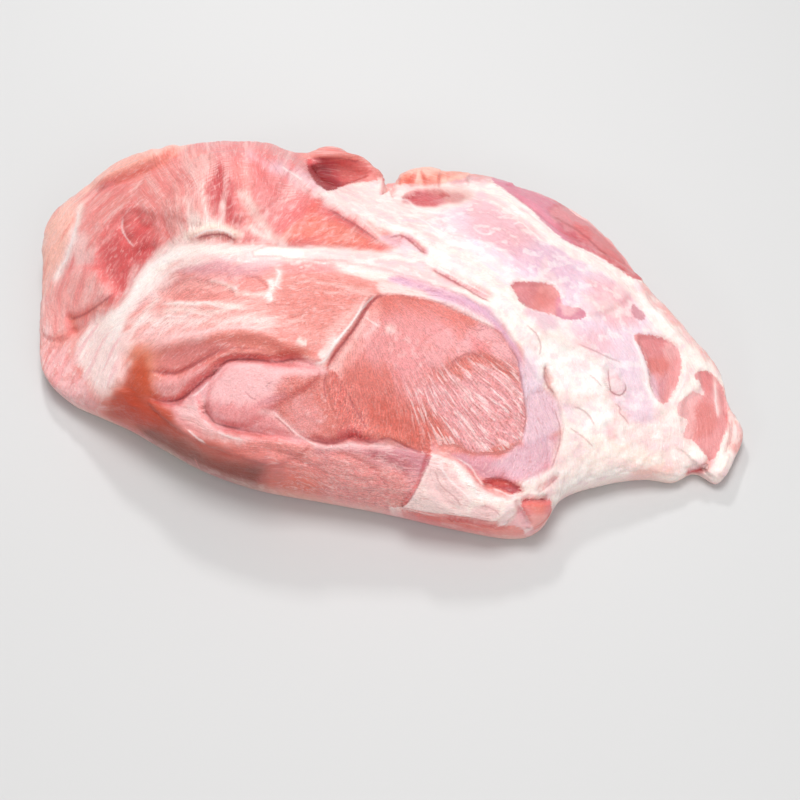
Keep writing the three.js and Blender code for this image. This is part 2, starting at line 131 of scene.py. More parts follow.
def running(path):
    """Length along a curve at each of its points."""
    return np.r_[0, np.cumsum(np.hypot(*np.diff(path[:, :2], axis=0).T))]


RING = curve(OUTLINE, True, 12)
RING_RUN = running(RING)
print("the outline is", round(RING_RUN[-1]), "mm round")


# %% Reading the outline
def outline_at(turn):
    """The outline's five values where its running length is the same share of the whole as the turn is
    of a full circle."""
    run = (turn % (2 * np.pi)) / (2 * np.pi) * RING_RUN[-1]
    return [np.interp(run, RING_RUN, RING[:, k]) for k in range(5)]


# %% [markdown]
# ## The broad upper surface
# The muscles swell to different heights: a high lobe at the rear left, a broad middle, a thin right end.
# Spot heights say how high the roast stands at named places, and a smooth surface is their average,
# weighed by nearness with a bell curve. Low mounds near the rear rim raise the flap that stands there.
# A handful of spots gives a calm broad form that the creases can then be cut into.

# %% Spot heights
# x, y, height
SPOTS = np.array([
    [-146, 84, 36], [-150, 40, 15], [-135, 10, 14], [-120, 60, 44], [-122, 84, 52], [-105, 30, 40],
    [-95, 0, 44], [-88, -30, 40], [-60, -45, 44], [-60, -15, 58], [-60, 15, 62], [-62, 35, 64],
    [-60, 60, 77], [-64, 88, 67], [-95, 60, 64], [-95, 88, 62], [-30, 55, 70],
    [-28, 30, 58], [-30, -5, 58], [-25, -50, 44], [0, -60, 40], [0, -20, 52], [5, 15, 54],
    [0, 45, 44], [-5, 75, 32], [-12, 90, 36], [35, -65, 26], [38, -35, 48], [40, 0, 53], [42, 35, 48],
    [45, 70, 40], [45, 92, 30], [65, -50, 24], [72, -20, 38], [75, 15, 40], [75, 50, 36],
    [95, -45, 17], [98, -15, 28], [100, 15, 30], [100, 40, 26], [122, -45, 10], [120, -20, 18],
], float)
SPOT_REACH = 17.0
# relief fades out over this last share of the way to the rim
RIM_SHARE = 0.05
# x, y, height, reach along x, reach along y
MOUNDS = [(-23, 93, 15, 12, 9), (-3.5, 95, -6, 3, 10), (13, 96, 6, 10, 8), (-114, 95, 4, 16, 10)]


def broad_top(x, y):
    """Mean of the spot heights, each weighed by exp(-distance squared / (2 reach squared))."""
    near = (x[..., None] - SPOTS[:, 0])**2 + (y[..., None] - SPOTS[:, 1])**2
    weight = np.exp(-near / (2 * SPOT_REACH**2)) + 1e-9
    return (weight * SPOTS[:, 2]).sum(-1) / weight.sum(-1)


print("height over the middle", round(float(broad_top(np.array(0.0), np.array(0.0))), 1), "mm")

# %% [markdown]
# ## One sheet over the whole top
# A grid of squares is wrapped onto the round plan: each ring of the square becomes a ring of the plan.
# This keeps the cells close to square everywhere, where a fan of spokes would crowd them in the middle.
# The rings are spread evenly along the section, so the steep sides get as many as the flat top.

# %% The wrapped grid
CELLS_ACROSS, CELLS_ALONG = 236, 366
SHOULDER = 1.6


def wrapped_square():
    """For each grid point (a, b) of the square from -1 to 1: its way out, the larger of |a| and |b|,
    and its turn, an eighth of a circle times the ratio of the smaller to the larger."""
    a, b = np.meshgrid(np.linspace(-1, 1, CELLS_ALONG + 1), np.linspace(-1, 1, CELLS_ACROSS + 1))
    wide = np.abs(a) >= np.abs(b)
    big, small = np.where(wide, a, b), np.where(wide, b, a)
    ratio = small / np.where(big == 0, 1, big) * np.pi / 4
    turn = np.where(wide, ratio, np.pi / 2 - ratio) + np.where(big < 0, np.pi, 0)
    return np.maximum(np.abs(a), np.abs(b)), turn


def even_shares(square=3.0, half_width=95, height=45):
    """Share of the width against share of the length along a section whose height is
    (1 - share^square)^(1/square)."""
    t = np.linspace(0, 1, 2001)
    run = running(np.stack([t * half_width, height * (1 - t**square)**(1 / square)], 1))
    return run / run[-1], t


way, turn = wrapped_square()
print("top sheet", way.shape, "points")


# %% The broad form
def even_outline(turn, reach=0.2, steps=7):
    """Mean of the outline's place over a stretch to both sides of each turn."""
    return np.mean([outline_at(turn + t)[:2] for t in np.linspace(-reach, reach, steps)], 0)


def broad_form(way, turn):
    """Plan: middle + share * (outline - middle), with the outline evened out in the inner part, so that
    a notch of the rim stays at the rim. Height: belly + (broad top - belly) * rise, where rise
    is (1 - share^(1.6 square))^(1/square), plus the mounds."""
    ox, oy, belly, square, _ = outline_at(turn)
    share = np.where(way >= 1, 1, np.interp(way, *even_shares()))
    inner = 1 - smooth(0.7, 1, share)
    even_x, even_y = even_outline(turn)
    x = MIDDLE[0] + share * (ox + (even_x - ox) * inner - MIDDLE[0])
    y = MIDDLE[1] + share * (oy + (even_y - oy) * inner - MIDDLE[1])
    rise = (1 - share**(square * SHOULDER))**(1 / square)
    z = belly + (broad_top(x, y) - belly) * rise
    for mx, my, height, reach_x, reach_y in MOUNDS:
        near = np.exp(-((x - mx) / reach_x)**2 - ((y - my) / reach_y)**2)
        z += height * near * np.clip((1 - share) / RIM_SHARE, 0, 1)
    return np.stack([x, y, z], -1)


def smooth(low, high, value):
    """0 below low, 1 above high, and 3t^2 - 2t^3 between."""
    t = np.clip((value - low) / (high - low), 0, 1)
    return t * t * (3 - 2 * t)


def unit(vectors):
    """Vectors divided by their length."""
    return vectors / np.maximum(np.linalg.norm(vectors, axis=-1, keepdims=True), 1e-9)


def grid_normals(points):
    """Cross product of the steps to the next column and to the next row."""
    return unit(np.cross(np.gradient(points, axis=1), np.gradient(points, axis=0)))


BROAD = broad_form(way, turn)
NORMAL = grid_normals(BROAD)
FACING = smooth(-0.10, 0.12, (NORMAL * unit(EYE - BROAD)).sum(-1))
print("broad form", BROAD.reshape(-1, 3).min(0).round(1), BROAD.reshape(-1, 3).max(0).round(1))

# %% [markdown]
# ## Grooves, ridges and lips
# A raw cut shows where each muscle ends: a crease, a lip of fat, or a fold of membrane. Each of these is
# a path on the map with a height and a half width. Its profile is a bell, and it fades at both ends. A
# path with a bell profile is the plainest form that reads as a crease, and hundreds of them stay cheap.

# %% Paths of the grooves and ridges
# height in mm (minus for a groove), half width in mm, points
LINES = {
    "lobe foot": (-0.7, 2.4, [-141, 29, -125, 32, -118, 38, -113, 44, -108, 53, -103, 58, -97, 62.5, -88,
        65.5, -76, 65.5, -50, 64, -30, 63, -8, 61, 4, 58]),
    "strip groove": (-1.4, 1.6, [-131, 79, -122, 88, -112, 92, -105, 95, -98, 98.5, -92, 102, -87, 104.5]),
    "strip": (3.2, 3.2, [-127, 88, -119, 93.5, -111, 97, -102, 100.5, -94, 104, -89, 105.5]),
    "outer line": (-1.0, 1.5, [-131, 82, -134, 74, -135, 66, -138, 58, -141, 51, -145, 47]),
    "lip": (1.6, 2.0, [-88, 66.5, -83, 70, -78, 71.5, -71, 70.3, -65.5, 66.5]),
    "eye slit": (-0.8, 0.9, [-87, 65.6, -80, 67.6, -75, 68.3, -70, 67, -66, 65.2]),
    "streak a": (-0.3, 2.4, [-92, 68, -97, 75, -103, 84, -108, 92]),
    "streak b": (-0.3, 2.2, [-86, 72, -88, 80, -90, 90, -91, 97]),
    "streak c": (-0.5, 2.0, [-79, 74, -80, 84, -79, 94]),
    "streak d": (-0.9, 2.2, [-70, 72, -74, 82, -76, 92, -77, 100]),
    "streak e": (-1.4, 1.8, [-50, 64, -57, 72, -63, 79, -66, 84, -68, 92]),
    "streak f": (-1.1, 2.0, [-44, 84, -53, 90, -57, 97, -60, 101]),
    "peak fold": (-1.2, 2.0, [-35, 84, -40, 90, -46, 96, -50, 101]),
    "wedge edge": (-1.0, 1.6, [-34, 84, -24, 77, -15, 70, -7, 65]),
    "slit": (-1.2, 1.8, [-8, 67.5, -1, 67.5, 5, 65, 12, 60]),
    "slit lip": (1.0, 2.2, [-3, 70, 4, 67.5, 9, 63.5, 14, 60]),
    "notch": (-4.5, 2.2, [-4, 92, -4.5, 87, -6, 83]),
    "flap": (4.0, 2.6, [-38, 99, -32, 101.5, -24, 102, -17, 100, -11, 95, -6, 89.5, -3, 86]),
    "rear lobe left": (2.4, 3.2, [-1, 91.5, 3, 92.5, 6, 91.5]),
    "rear lobe middle": (2.4, 3.2, [9, 92, 13, 93, 17, 92.5]),
    "rear lobe right": (1.6, 2.6, [19, 93, 24, 92.5, 29, 91.5]),
    "rear groove": (-1.6, 1.4, [-1, 89.5, 8, 88.8, 18, 88.5, 30, 90]),
    "ridge": (3.4, 4.6, [-106, 19, -100, 22, -90, 24.5, -80, 27, -70, 28.5, -60, 28.5, -52, 26.5, -44, 22.5,
        -33, 20]),
    "second roll": (1.6, 2.6, [-104, 7, -96, 6.5, -88, 8.5, -81, 13.5, -74, 19, -64, 19.5, -52, 18.5]),
    "upper crease": (-1.9, 1.3, [-103, 12.5, -98, 11.2, -92, 11, -86, 13.7, -80, 17.2, -75, 20, -69, 21]),
    "long crease": (-2.6, 1.5, [-106, 3, -100, 0, -94, -0.6, -90, 0.5, -85, 5, -80, 9, -77, 10.6, -74, 14,
        -70, 16.3, -62, 17, -50, 15.8, -42, 16.6, -36, 14.6, -31, 13]),
    "cross crease": (-1.3, 1.0, [-33, 12.5, -30, 13.5, -27, 18, -24, 22, -20, 28, -16, 35, -12, 41, -7, 44]),
    "white edge": (1.5, 1.5, [-44, 18, -37, 17, -32, 17.5, -28, 22, -23, 28, -18, 34, -14, 41, -8, 46]),
    "end groove": (-0.7, 3.0, [-112, 22, -114, 15, -112, 6, -107, 0]),
    "fold down": (-1.3, 1.2, [-79, 2, -80.5, -4, -78, -8, -71, -11, -60, -13, -48, -14, -41, -16]),
    "fold small": (-0.5, 1.0, [-61, -3, -54, 0, -46, 2]),
    "fold middle": (-0.8, 1.2, [-60, -6, -53, -4, -48, -9, -42, -14, -37, -17]),
    "wall edge": (1.0, 2.6, [-106, 0, -100, -5, -92, -11, -85, -16, -76, -21, -65, -24, -54, -28, -44, -33]),
    "under oval": (-1.6, 1.2, [-40, -15, -31, -17.5, -25, -17, -20, -15.5, -15, -17.5, -9, -17]),
    "oval foot": (-0.7, 1.2, [-9, -17.5, -2, -18.5, 5, -21, 12, -22]),
    "oval lip": (1.3, 2.2, [-24, -12, -14, -13.5, -4, -15.5, 6, -18.5]),
    "oval foot right": (-0.8, 1.2, [13, -18, 22, -20, 30, -22.6, 40, -22.6, 47, -19.5]),
    "wall fold a": (-1.1, 1.5, [-14, -22, -6, -26, 0, -30, 5, -33]),
    "wall fold b": (-0.9, 1.4, [-38, -24, -28, -22, -18, -25, -10, -30, -4, -38]),
    "wall fold c": (-0.9, 1.6, [-60, -19, -50, -22, -40, -26, -28, -33]),
    "flap fold a": (0.8, 1.4, [15, -26, 20, -33, 27, -40, 36, -45]),
    "flap fold b": (-0.7, 1.2, [12, -29, 15, -37, 22, -44, 30, -47]),
    "flap fold c": (0.8, 1.2, [28, -33, 33, -40, 36, -47]),
    "flap foot": (-1.8, 1.3, [-1, -45.5, 10, -49, 22, -50.5, 33, -52, 42, -52.5, 50, -50]),
    "front lobe gap": (-2.0, 1.3, [49, -40, 49.5, -45, 52, -50, 54, -53]),
    "front lobe top": (-2.4, 1.3, [50, -41.5, 56, -42, 62, -41.8]),
    "front notch": (-1.4, 1.2, [40, -52, 44, -49, 48, -46]),
    "fat groove": (-0.9, 2.0, [10, 57, 20, 50.5, 30, 45, 39, 41]),
    "fat groove b": (-0.7, 2.0, [-14, 66, -4, 61, 8, 57]),
    "fat ridge": (1.5, 3.6, [-30, 82, -12, 77, 6, 70, 20, 58, 34, 50, 45, 41, 53, 31]),
    "fat ridge b": (1.3, 2.6, [-48, 62, -28, 60, -8, 56, 10, 49, 26, 42, 40, 32, 48, 22]),
    "fat ridge c": (1.5, 2.6, [52, 36, 62, 28, 74, 22, 84, 16, 88, 8]),
    "fat pit": (-2.0, 1.4, [60, 15, 60.5, 10, 63, 6]),
    "fat crease": (-0.9, 1.6, [86, 14, 86, 6, 89, 1.6, 93, 0.5, 91, -3, 94, -7, 92, -10]),
    "fat crease b": (-0.9, 1.6, [68, -1, 74, -5, 79, -10]),
    "fat crease c": (-1.1, 1.3, [84, -9, 88, -15, 92, -20]),
    "fat crease d": (-1.2, 1.2, [56, -38, 62, -34, 66, -31]),
    "white line": (1.2, 1.6, [36, 91, 43, 84, 50, 78.5, 57, 73, 63, 68, 70, 64.5, 80, 59, 88, 54.5, 95, 51.5,
        100, 46, 102, 41, 108, 34, 115, 26, 122, 19, 130, 11]),
    "side groove": (-1.6, 1.6, [41, 90, 50, 83, 58, 77, 66, 70, 75, 65, 86, 59, 96, 53]),
    "tip groove": (-1.8, 1.3, [134, -4, 136.5, -11, 136, -18, 133.5, -24]),
    "red gap": (-3.0, 1.3, [117, -30.5, 121, -30, 126, -28, 129, -24]),
    "end ridge": (1.2, 1.8, [136, -22, 134, -28, 131, -32]),
    "left crease": (-1.1, 1.6, [-137, 33, -130, 35.3, -125, 38.3, -119, 41]),
    "left hollow": (-1.2, 2.2, [-137, 36, -134, 30, -133, 26]),
    "red crease a": (-1.3, 1.6, [-115, 76, -114, 69, -110, 64]),
    "red crease b": (-1.0, 1.4, [-109, 80, -107, 73, -103, 72, -102, 78]),
    "red crease c": (-1.4, 2.0, [-112, 56, -106, 62, -99, 64]),
}
print(len(LINES), "grooves and ridges")


# %% Distance to a path
OUT_OF_REACH = 1e6


def near_box(p, q, path, reach):
    """True for points within reach of the path's box, so that the rest need no work."""
    low, high = path[:, :2].min(0) - reach, path[:, :2].max(0) + reach
    return (p > low[0]) & (p < high[0]) & (q > low[1]) & (q < high[1])


def segment_distance(p, q, path):
    """Distance from each point to each straight piece of the path: the foot of the perpendicular,
    clipped to the piece. Also the share of the piece at that foot."""
    start, step = path[:-1], np.diff(path, axis=0)
    px, qy = p[:, None] - start[:, 0], q[:, None] - start[:, 1]
    t = np.clip((px * step[:, 0] + qy * step[:, 1]) / ((step**2).sum(1) + 1e-9), 0, 1)
    return np.hypot(px - t * step[:, 0], qy - t * step[:, 1]), t


def nearest(p, q, path):
    """The least of the distances to the pieces of a path, the share of the path's length there, and the
    number of that piece."""
    distance, t = segment_distance(p, q, path)
    best = distance.argmin(1)
    row, run = np.arange(len(best)), running(path)
    return distance[row, best], (run[best] + t[row, best] * np.diff(run)[best]) / run[-1], best


def path_distance(p, q, points, reach):
    """Distance to an open smooth path, and the share of its length at the nearest point."""
    path = curve(points, False, 6)
    far, share = np.full(p.shape, OUT_OF_REACH), np.zeros(p.shape)
    near = near_box(p, q, path, reach)
    if near.any():
        far[near], share[near], _ = nearest(p[near], q[near], path)
    return far, share


def line_mask(p, q, half, points, tail=0.18):
    """exp(-(distance / half)^2), faded over the tail share at both ends of the path."""
    far, share = path_distance(p, q, points, 3 * half)
    return np.exp(-(far / half)**2) * smooth(0, tail, share) * smooth(0, tail, 1 - share)


print("a point 2 mm from a path of half width 2 keeps", round(math.exp(-1), 2), "of its height")

# %% [markdown]
# ## Swellings, dishes and hollows
# Whole muscles swell or sink: the big oval muscle in the middle is slightly dished, the membrane lobe
# beside it swells, and a dark hollow opens behind the high lobe. Each is a closed outline with a height
# and the width of its rounded rim. The rim's profile is a quarter circle, as on a pillow.

# %% Outlines of the swellings
# height in mm (minus for a dish), width of the rim in mm, points
PATCHES = {
    "oval": (-0.7, 2.0, [-14, 39, -7, 43.5, 5, 42.5, 15, 40.5, 22, 38, 30, 34, 37, 30, 42, 26, 46, 21, 49,
        15, 50.5, 7, 51.8, 0, 52, -8, 51, -15, 48, -19, 41, -22, 30, -21.5, 20, -19, 12, -21, 4, -20, -5,
        -17, -14, -17, -22, -15, -27, -5, -30, 5, -29, 14, -25, 20, -20, 28]),
    "oval upper": (0.9, 2.0, [16, 12, 25, 17, 32, 18.5, 41, 15, 51, 9, 49, 16, 45, 23, 38, 30, 30, 34, 20,
        30, 8, 22]),
    "membrane": (2.0, 6.5, [-76, 9, -70, 15, -50, 14, -34, 11.5, -40, 5, -50, -1, -62, -9, -74, -9, -79, -4,
        -79, 2]),
    "low roll": (1.6, 3.5, [-104, -1, -92, -3, -84, 2, -81, -6, -76, -11, -62, -15, -45, -17, -38, -20, -52,
        -27, -66, -24, -80, -19, -94, -11]),
    "white flap": (2.4, 2.4, [12, -22, 18, -23, 25, -26, 30, -31, 35, -37, 44, -40.5, 50, -40, 49, -45, 45,
        -50, 38, -52, 30, -50, 20, -49, 10, -48, 1, -45, 4, -40, 8, -33]),
    "pocket": (-2.2, 1.4, [34, -35.5, 38, -33.5, 42, -33, 46, -34.5, 51.5, -38.5, 46, -39, 40, -37]),
    "front lobe": (1.8, 2.2, [51, -43, 62, -42, 63, -46, 60, -51, 54, -54, 50.5, -48]),
    "lilac": (-0.6, 1.6, [47, -18, 53, 2, 62, 3, 66, -5, 67.5, -13, 66, -20, 61, -29, 50, -33, 34, -33, 26,
        -27, 20, -22, 34, -23]),
    "hollow": (-3.0, 3.0, [-36, 96, -35, 90.5, -31, 87.5, -26, 86.5, -22, 88.5, -18, 91, -14, 93, -20, 97,
        -28, 98.5]),
    "dent": (-3.2, 2.4, [1, 83, 5, 86, 12, 87, 18, 86, 20, 83, 14, 80.3, 7, 80]),
    "window left": (-1.3, 1.6, [46, 48, 54, 48.3, 61, 48, 66, 44, 66, 40, 61, 36.5, 55, 37, 49, 41]),
    "window right": (-1.3, 1.6, [98, 26, 106, 26.5, 112, 24, 116, 19, 115, 12, 114, 5, 110, -1, 107, 1,
        103.5, 8, 102, 17]),
    "window end": (-1.2, 2.0, [123, 12, 128, 11, 133, 5, 135, -3, 135, -12, 133, -20, 129, -26, 124, -20,
        118, -17, 116, -8, 118, 1, 124, 5]),
    "side band": (-1.2, 2.0, [44, 89, 58, 80, 70, 69, 84, 60, 99, 50, 101, 49, 94, 60, 84, 71, 70, 80, 55,
        88]),
    "lens": (-0.8, 1.4, [-100, 43.5, -95, 48, -88, 50, -80, 49.3, -73, 47.5, -68, 45, -70, 42, -79, 41.3,
        -88, 40.5]),
    "island": (-0.9, 1.2, [-67, 47, -64, 50.5, -60, 51, -56.5, 49.5, -55, 46, -60, 45, -65, 45.3]),
    "red face": (-1.6, 6.0, [-125, 60, -120, 72, -112, 78, -100, 76, -93, 69, -99, 64, -108, 55, -113, 46,
        -120, 46]),
    "left bulge": (2.0, 5.0, [-147, 28, -147, 45, -140, 52, -128, 55, -118, 47, -122, 38, -132, 34, -138,
        26]),
    "peak": (1.6, 7.0, [-96, 80, -88, 97, -72, 103, -58, 101, -50, 92, -56, 80, -70, 74, -86, 74]),
    "saddle": (1.4, 5.0, [-52, 66, -45, 78, -36, 86, -30, 82, -18, 72, -8, 64, -30, 64]),
    "right lobe": (1.4, 8.0, [20, 80, 40, 84, 60, 68, 84, 54, 94, 44, 80, 36, 66, 42, 50, 48, 34, 60, 20,
        70]),
}
print(len(PATCHES), "swellings and dishes")


# %% Depth inside an outline
def depth_inside(p, q, points, reach=2.0):
    """Distance to a closed smooth outline, plus inside and minus outside. A point is inside where a
    line to its right crosses the outline an odd number of times."""
    path = curve(points, True, 6)
    deep = np.full(p.shape, -OUT_OF_REACH)
    near = near_box(p, q, path, reach)
    if near.any():
        x, y = p[near], q[near]
        distance, _ = segment_distance(x, y, path)
        ax, ay, bx, by = path[:-1, 0], path[:-1, 1], path[1:, 0], path[1:, 1]
        spans = (ay > y[:, None]) != (by > y[:, None])
        slope = (bx - ax) / np.where(by == ay, 1e-9, by - ay)
        crossings = (spans & (x[:, None] < slope * (y[:, None] - ay) + ax)).sum(1)
        deep[near] = np.where(crossings % 2 == 1, 1, -1) * distance.min(1)
    return deep


def relief(p, q):
    """Sum of every line's bell and every patch's height times a quarter circle over its rim."""
    height = np.zeros(p.shape)
    for amount, half, points in LINES.values():
        height += amount * line_mask(p, q, half, points)
    for amount, rim, points in PATCHES.values():
        t = np.clip(depth_inside(p, q, points) / rim + 0.15, 0, 1)
        height += amount * np.sqrt(1 - (1 - t)**2)
    return height


print("relief at the long crease", relief(np.array([-77.0]), np.array([10.6])).round(1), "mm")

# %% [markdown]
# ## Noise that follows the meat
# Muscle is made of fibres, so its fine relief and its marbling are long in one direction and short
# across it. Value noise is a grid of random heights joined smoothly. Stretched along a flow it gives
# fibres, and unstretched it gives the small lumps of fat. Working it out here rather than only in the
# material lets the same fibres be both painted and raised.

# %% Value noise
def lattice(column, row, layer, seed):
    """A repeatable random number from -1 to 1 for each whole-number place, by mixing its digits."""
    mixed = (column.astype(np.int64) * 374761393 + row.astype(np.int64) * 668265263
             + layer.astype(np.int64) * 2147483647 + seed * 144665) & 0xFFFFFFFF
    mixed = ((mixed ^ (mixed >> 13)) * 1274126177) & 0xFFFFFFFF
    return ((mixed ^ (mixed >> 16)) & 0xFFFF) / 32767.5 - 1


def noise(u, v, w=None, seed=0):
    """Random heights at whole numbers, blended by 3t^2 - 2t^3 along each direction."""
    w = np.zeros_like(u) if w is None else w
    cells = [np.floor(c) for c in (u, v, w)]
    parts = [c - f for c, f in zip((u, v, w), cells)]
    ease = [t * t * (3 - 2 * t) for t in parts]
    total = np.zeros_like(u, dtype=float)
    for corner in range(8):
        steps = [(corner >> k) & 1 for k in range(3)]
        weight = np.ones_like(total)
        for e, s in zip(ease, steps):
            weight = weight * (e if s else 1 - e)
        total += weight * lattice(*(c + s for c, s in zip(cells, steps)), seed)
    return total


def layered(u, v, w=None, octaves=3, seed=0):
    """Sum of noises, each twice as fine and half as strong as the last."""
    w = np.zeros_like(u) if w is None else w
    layers = [noise(u * 2**k, v * 2**k, w * 2**k, seed + 17 * k) / 2**k for k in range(octaves)]
    return sum(layers) / (2 - 2**(1 - octaves))


# %% Directions of the fibres
def arch_flow(p, q, middle, wide):
    """Distance along and across arches about a point: ellipses that are wide times as wide as high."""
    dx, dy = (p - middle[0]) / wide, q - middle[1]
    return np.arctan2(dx, dy) * 80, np.hypot(dx, dy)


def fan_flow(p, q, middle, spread):
    """Distance along rays that leave a point, and across them at the spread's distance."""
    dx, dy = p - middle[0], q - middle[1]
    return np.hypot(dx, dy), np.arctan2(dy, dx) * spread


def slope_flow(p, q, slope):
    """Distance along and across straight lines of one slope."""
    size = math.hypot(1, slope)
    return (p + slope * q) / size, (q - slope * p) / size


print("three kinds of fibre direction: arches, fans and straight lines")

# %% [markdown]
# ## Raising the surface
# The surface moves along its own normal by the relief. Each point looks up the map again from where it
# has moved to, so the creases stay under their paths. The hidden side has no map, so long seams and lumps
# run round it, as the same muscles carry on there.

# %% Seams and lumps
SEAM_DEPTH, SEAM_HALF, SEAM_SPACING = 2.4, 0.24, 21.0


def seam_place(points):
    """Place across the seams: a slanting sum of height, depth and length, bent by two slow waves."""
    x, y, z = points[..., 0], points[..., 1], points[..., 2]
    return 1.1 * z + 0.35 * y + 0.12 * x + 7 * np.sin(x / 29) + 4 * np.sin(x / 13 + 1)


def seams(points, half):
    """1 on a seam and 0 between two: exp(-(sin(pi * place / spacing) / half)^2)."""
    return np.exp(-(np.sin(np.pi * seam_place(points) / SEAM_SPACING) / half)**2)


def lumps(points, size, seed):
    """Layered noise in the three directions of space, with cells of one size."""
    x, y, z = np.moveaxis(points / size, -1, 0)
    return layered(x, y, z, 3, seed)


KEEP = smooth(0, RIM_SHARE, 1 - way)
HIDDEN = 1 - FACING
surface = BROAD
for _ in range(2):
    map_p, map_q = (c.reshape(way.shape) for c in drawn(surface.reshape(-1, 3)))
    height = relief(map_p, map_q) * FACING - SEAM_DEPTH * seams(BROAD, SEAM_HALF) * HIDDEN
    surface = BROAD + NORMAL * (height * KEEP)[..., None]
print("relief from", height.min().round(1), "to", height.max().round(1), "mm")

# %% [markdown]
# ## Fibres, lumps and the closed bottom
# Fine relief comes last: fibres run with the arches over the middle, fan out in the high lobe and in the
# oval muscle, and soft lumps sit in the fat. The rim then rolls under to a flat base, as soft meat does
# where it lies. The whole is kept inside the frame's box, because its size is settled there.

# %% Where each kind of meat lies on the map
HIGH_LOBE = [-158, 24, -158, 96, -128, 108, -84, 114, -52, 112, -38, 102, -31, 87, -18, 76, -8, 66, -4, 62,
    -8, 61, -30, 63, -50, 64, -76, 65.5, -88, 65, -97, 62, -103, 58, -108, 53, -113, 44, -118, 38, -125, 32,
    -141, 28]
OVAL_MUSCLE = PATCHES["oval"][2]
FAT_FIELD = [-34, 86, -20, 90, -4, 90, 10, 89, 40, 92, 60, 84, 88, 68, 104, 52, 124, 30, 146, 4, 146, -40,
    100, -46, 60, -60, 40, -52, 52, -33, 62, -28, 67, -18, 67, -8, 63, 3, 56, 10, 50, 20, 44, 29, 36, 37, 24,
    44, 10, 49, -6, 54, -30, 58, -60, 60, -50, 64, -10, 62, 0, 66, -14, 74, -26, 81]
LEFT_FACE = [-158, 20, -158, 100, -126, 104, -104, 100, -108, 86, -104, 76, -98, 68, -94, 62, -103, 58, -108,
    53, -113, 44, -118, 38, -125, 32, -141, 28]
FRONT_WALL = [-120, 4, -106, 2, -94, -1, -84, 4, -79, -4, -76, -10, -60, -13, -42, -16, -30, -18, -10, -18,
    12, -21, 20, -22, 40, -33, 60, -40, 66, -60, 0, -66, -130, -50]


def region(p, q, points, soft):
    """1 inside an outline and 0 outside it, eased over the soft width on both sides of it."""
    return smooth(-soft, soft, depth_inside(p, q, points, 2 * soft))


# %% Which way the fibres run
map_p, map_q = drawn(surface.reshape(-1, 3))
facing = FACING.reshape(-1)
in_lobe = region(map_p, map_q, HIGH_LOBE, 2.0)
in_oval = region(map_p, map_q, OVAL_MUSCLE, 1.5)
in_fat = region(map_p, map_q, FAT_FIELD, 3.0)
# each later row covers the earlier ones where its mask is over a half
FLOWS = [
    (arch_flow(map_p, map_q, (-29, -21), 1.25), np.ones_like(map_p)),
    (arch_flow(map_p, map_q, (-10, -40), 1.0), in_fat),
    (fan_flow(map_p, map_q, (-74, 40), 44), in_lobe),
    (arch_flow(map_p, map_q, (-60, 26), 1.0), region(map_p, map_q, LEFT_FACE, 2.0)),
    (slope_flow(map_p, map_q, -0.16), region(map_p, map_q, FRONT_WALL, 2.0)),
    (fan_flow(map_p, map_q, (-22, 64), 70), in_oval),
]
wiggle = [layered(map_p / 22, map_q / 22, octaves=2, seed=s) for s in (21, 22)]
fibre_u, fibre_v, near_border = np.zeros_like(map_p), np.zeros_like(map_p), np.zeros_like(map_p)
for number, ((along, across), mask) in enumerate(FLOWS):
    chosen = mask > 0.5
    fibre_u = np.where(chosen, along + 40 * number, fibre_u)
    fibre_v = np.where(chosen, across + 60 * number, fibre_v)
    near_border = np.maximum(near_border * (1 - mask), 1 - np.abs(2 * mask - 1))
fibre_u, fibre_v = fibre_u + 5 * wiggle[0], fibre_v + 3.5 * wiggle[1]
print(len(FLOWS), "directions of fibres")

# %% Fine relief
on_map = layered(fibre_u / 15, fibre_v / 2.6, seed=1) * (1 - near_border)
flat_lumps = lumps(surface, 7.0, 4).reshape(-1)
small_lumps = lumps(surface, 3.2, 5).reshape(-1)
lumpy = region(map_p, map_q, [52, 34, 72, 26, 88, 16, 104, 2, 118, -14, 128, -26, 116, -34, 90, -38, 66, -44,
    56, -36, 68, -22, 68, -6, 58, 4, 54, 20], 3.0)
# heights in mm
FIBRE_HEIGHT, LUMP_HEIGHT, SMALL_LUMP_HEIGHT, HIDDEN_LUMP_HEIGHT = 0.6, 0.5, 0.4, 0.9
fibres = FIBRE_HEIGHT * on_map * (1 - 0.6 * in_fat)
lumpiness = 0.5 + 0.4 * in_fat + 0.9 * lumpy
fine = facing * (fibres + lumpiness * (LUMP_HEIGHT * flat_lumps + SMALL_LUMP_HEIGHT * small_lumps))
fine += (1 - facing) * (HIDDEN_LUMP_HEIGHT * flat_lumps + SMALL_LUMP_HEIGHT * small_lumps)
surface = surface + NORMAL * (fine.reshape(way.shape) * KEEP)[..., None]
print("fine relief within", round(float(np.abs(fine).max()), 2), "mm")

# %% The rim, the tuck and the base
TUCK_RINGS, BASE_RINGS = 7, 2


def rim_walk(rows, columns):
    """Indices of the grid's border, once round, starting at the last column."""
    down, across = np.arange(rows - 1), np.arange(columns - 1)
    return np.vstack([
        np.stack([down, np.full(rows - 1, columns - 1)], 1),
        np.stack([np.full(columns - 1, rows - 1), across[::-1] + 1], 1),
        np.stack([down[::-1] + 1, np.zeros(rows - 1, int)], 1),
        np.stack([np.zeros(columns - 1, int), across], 1)])


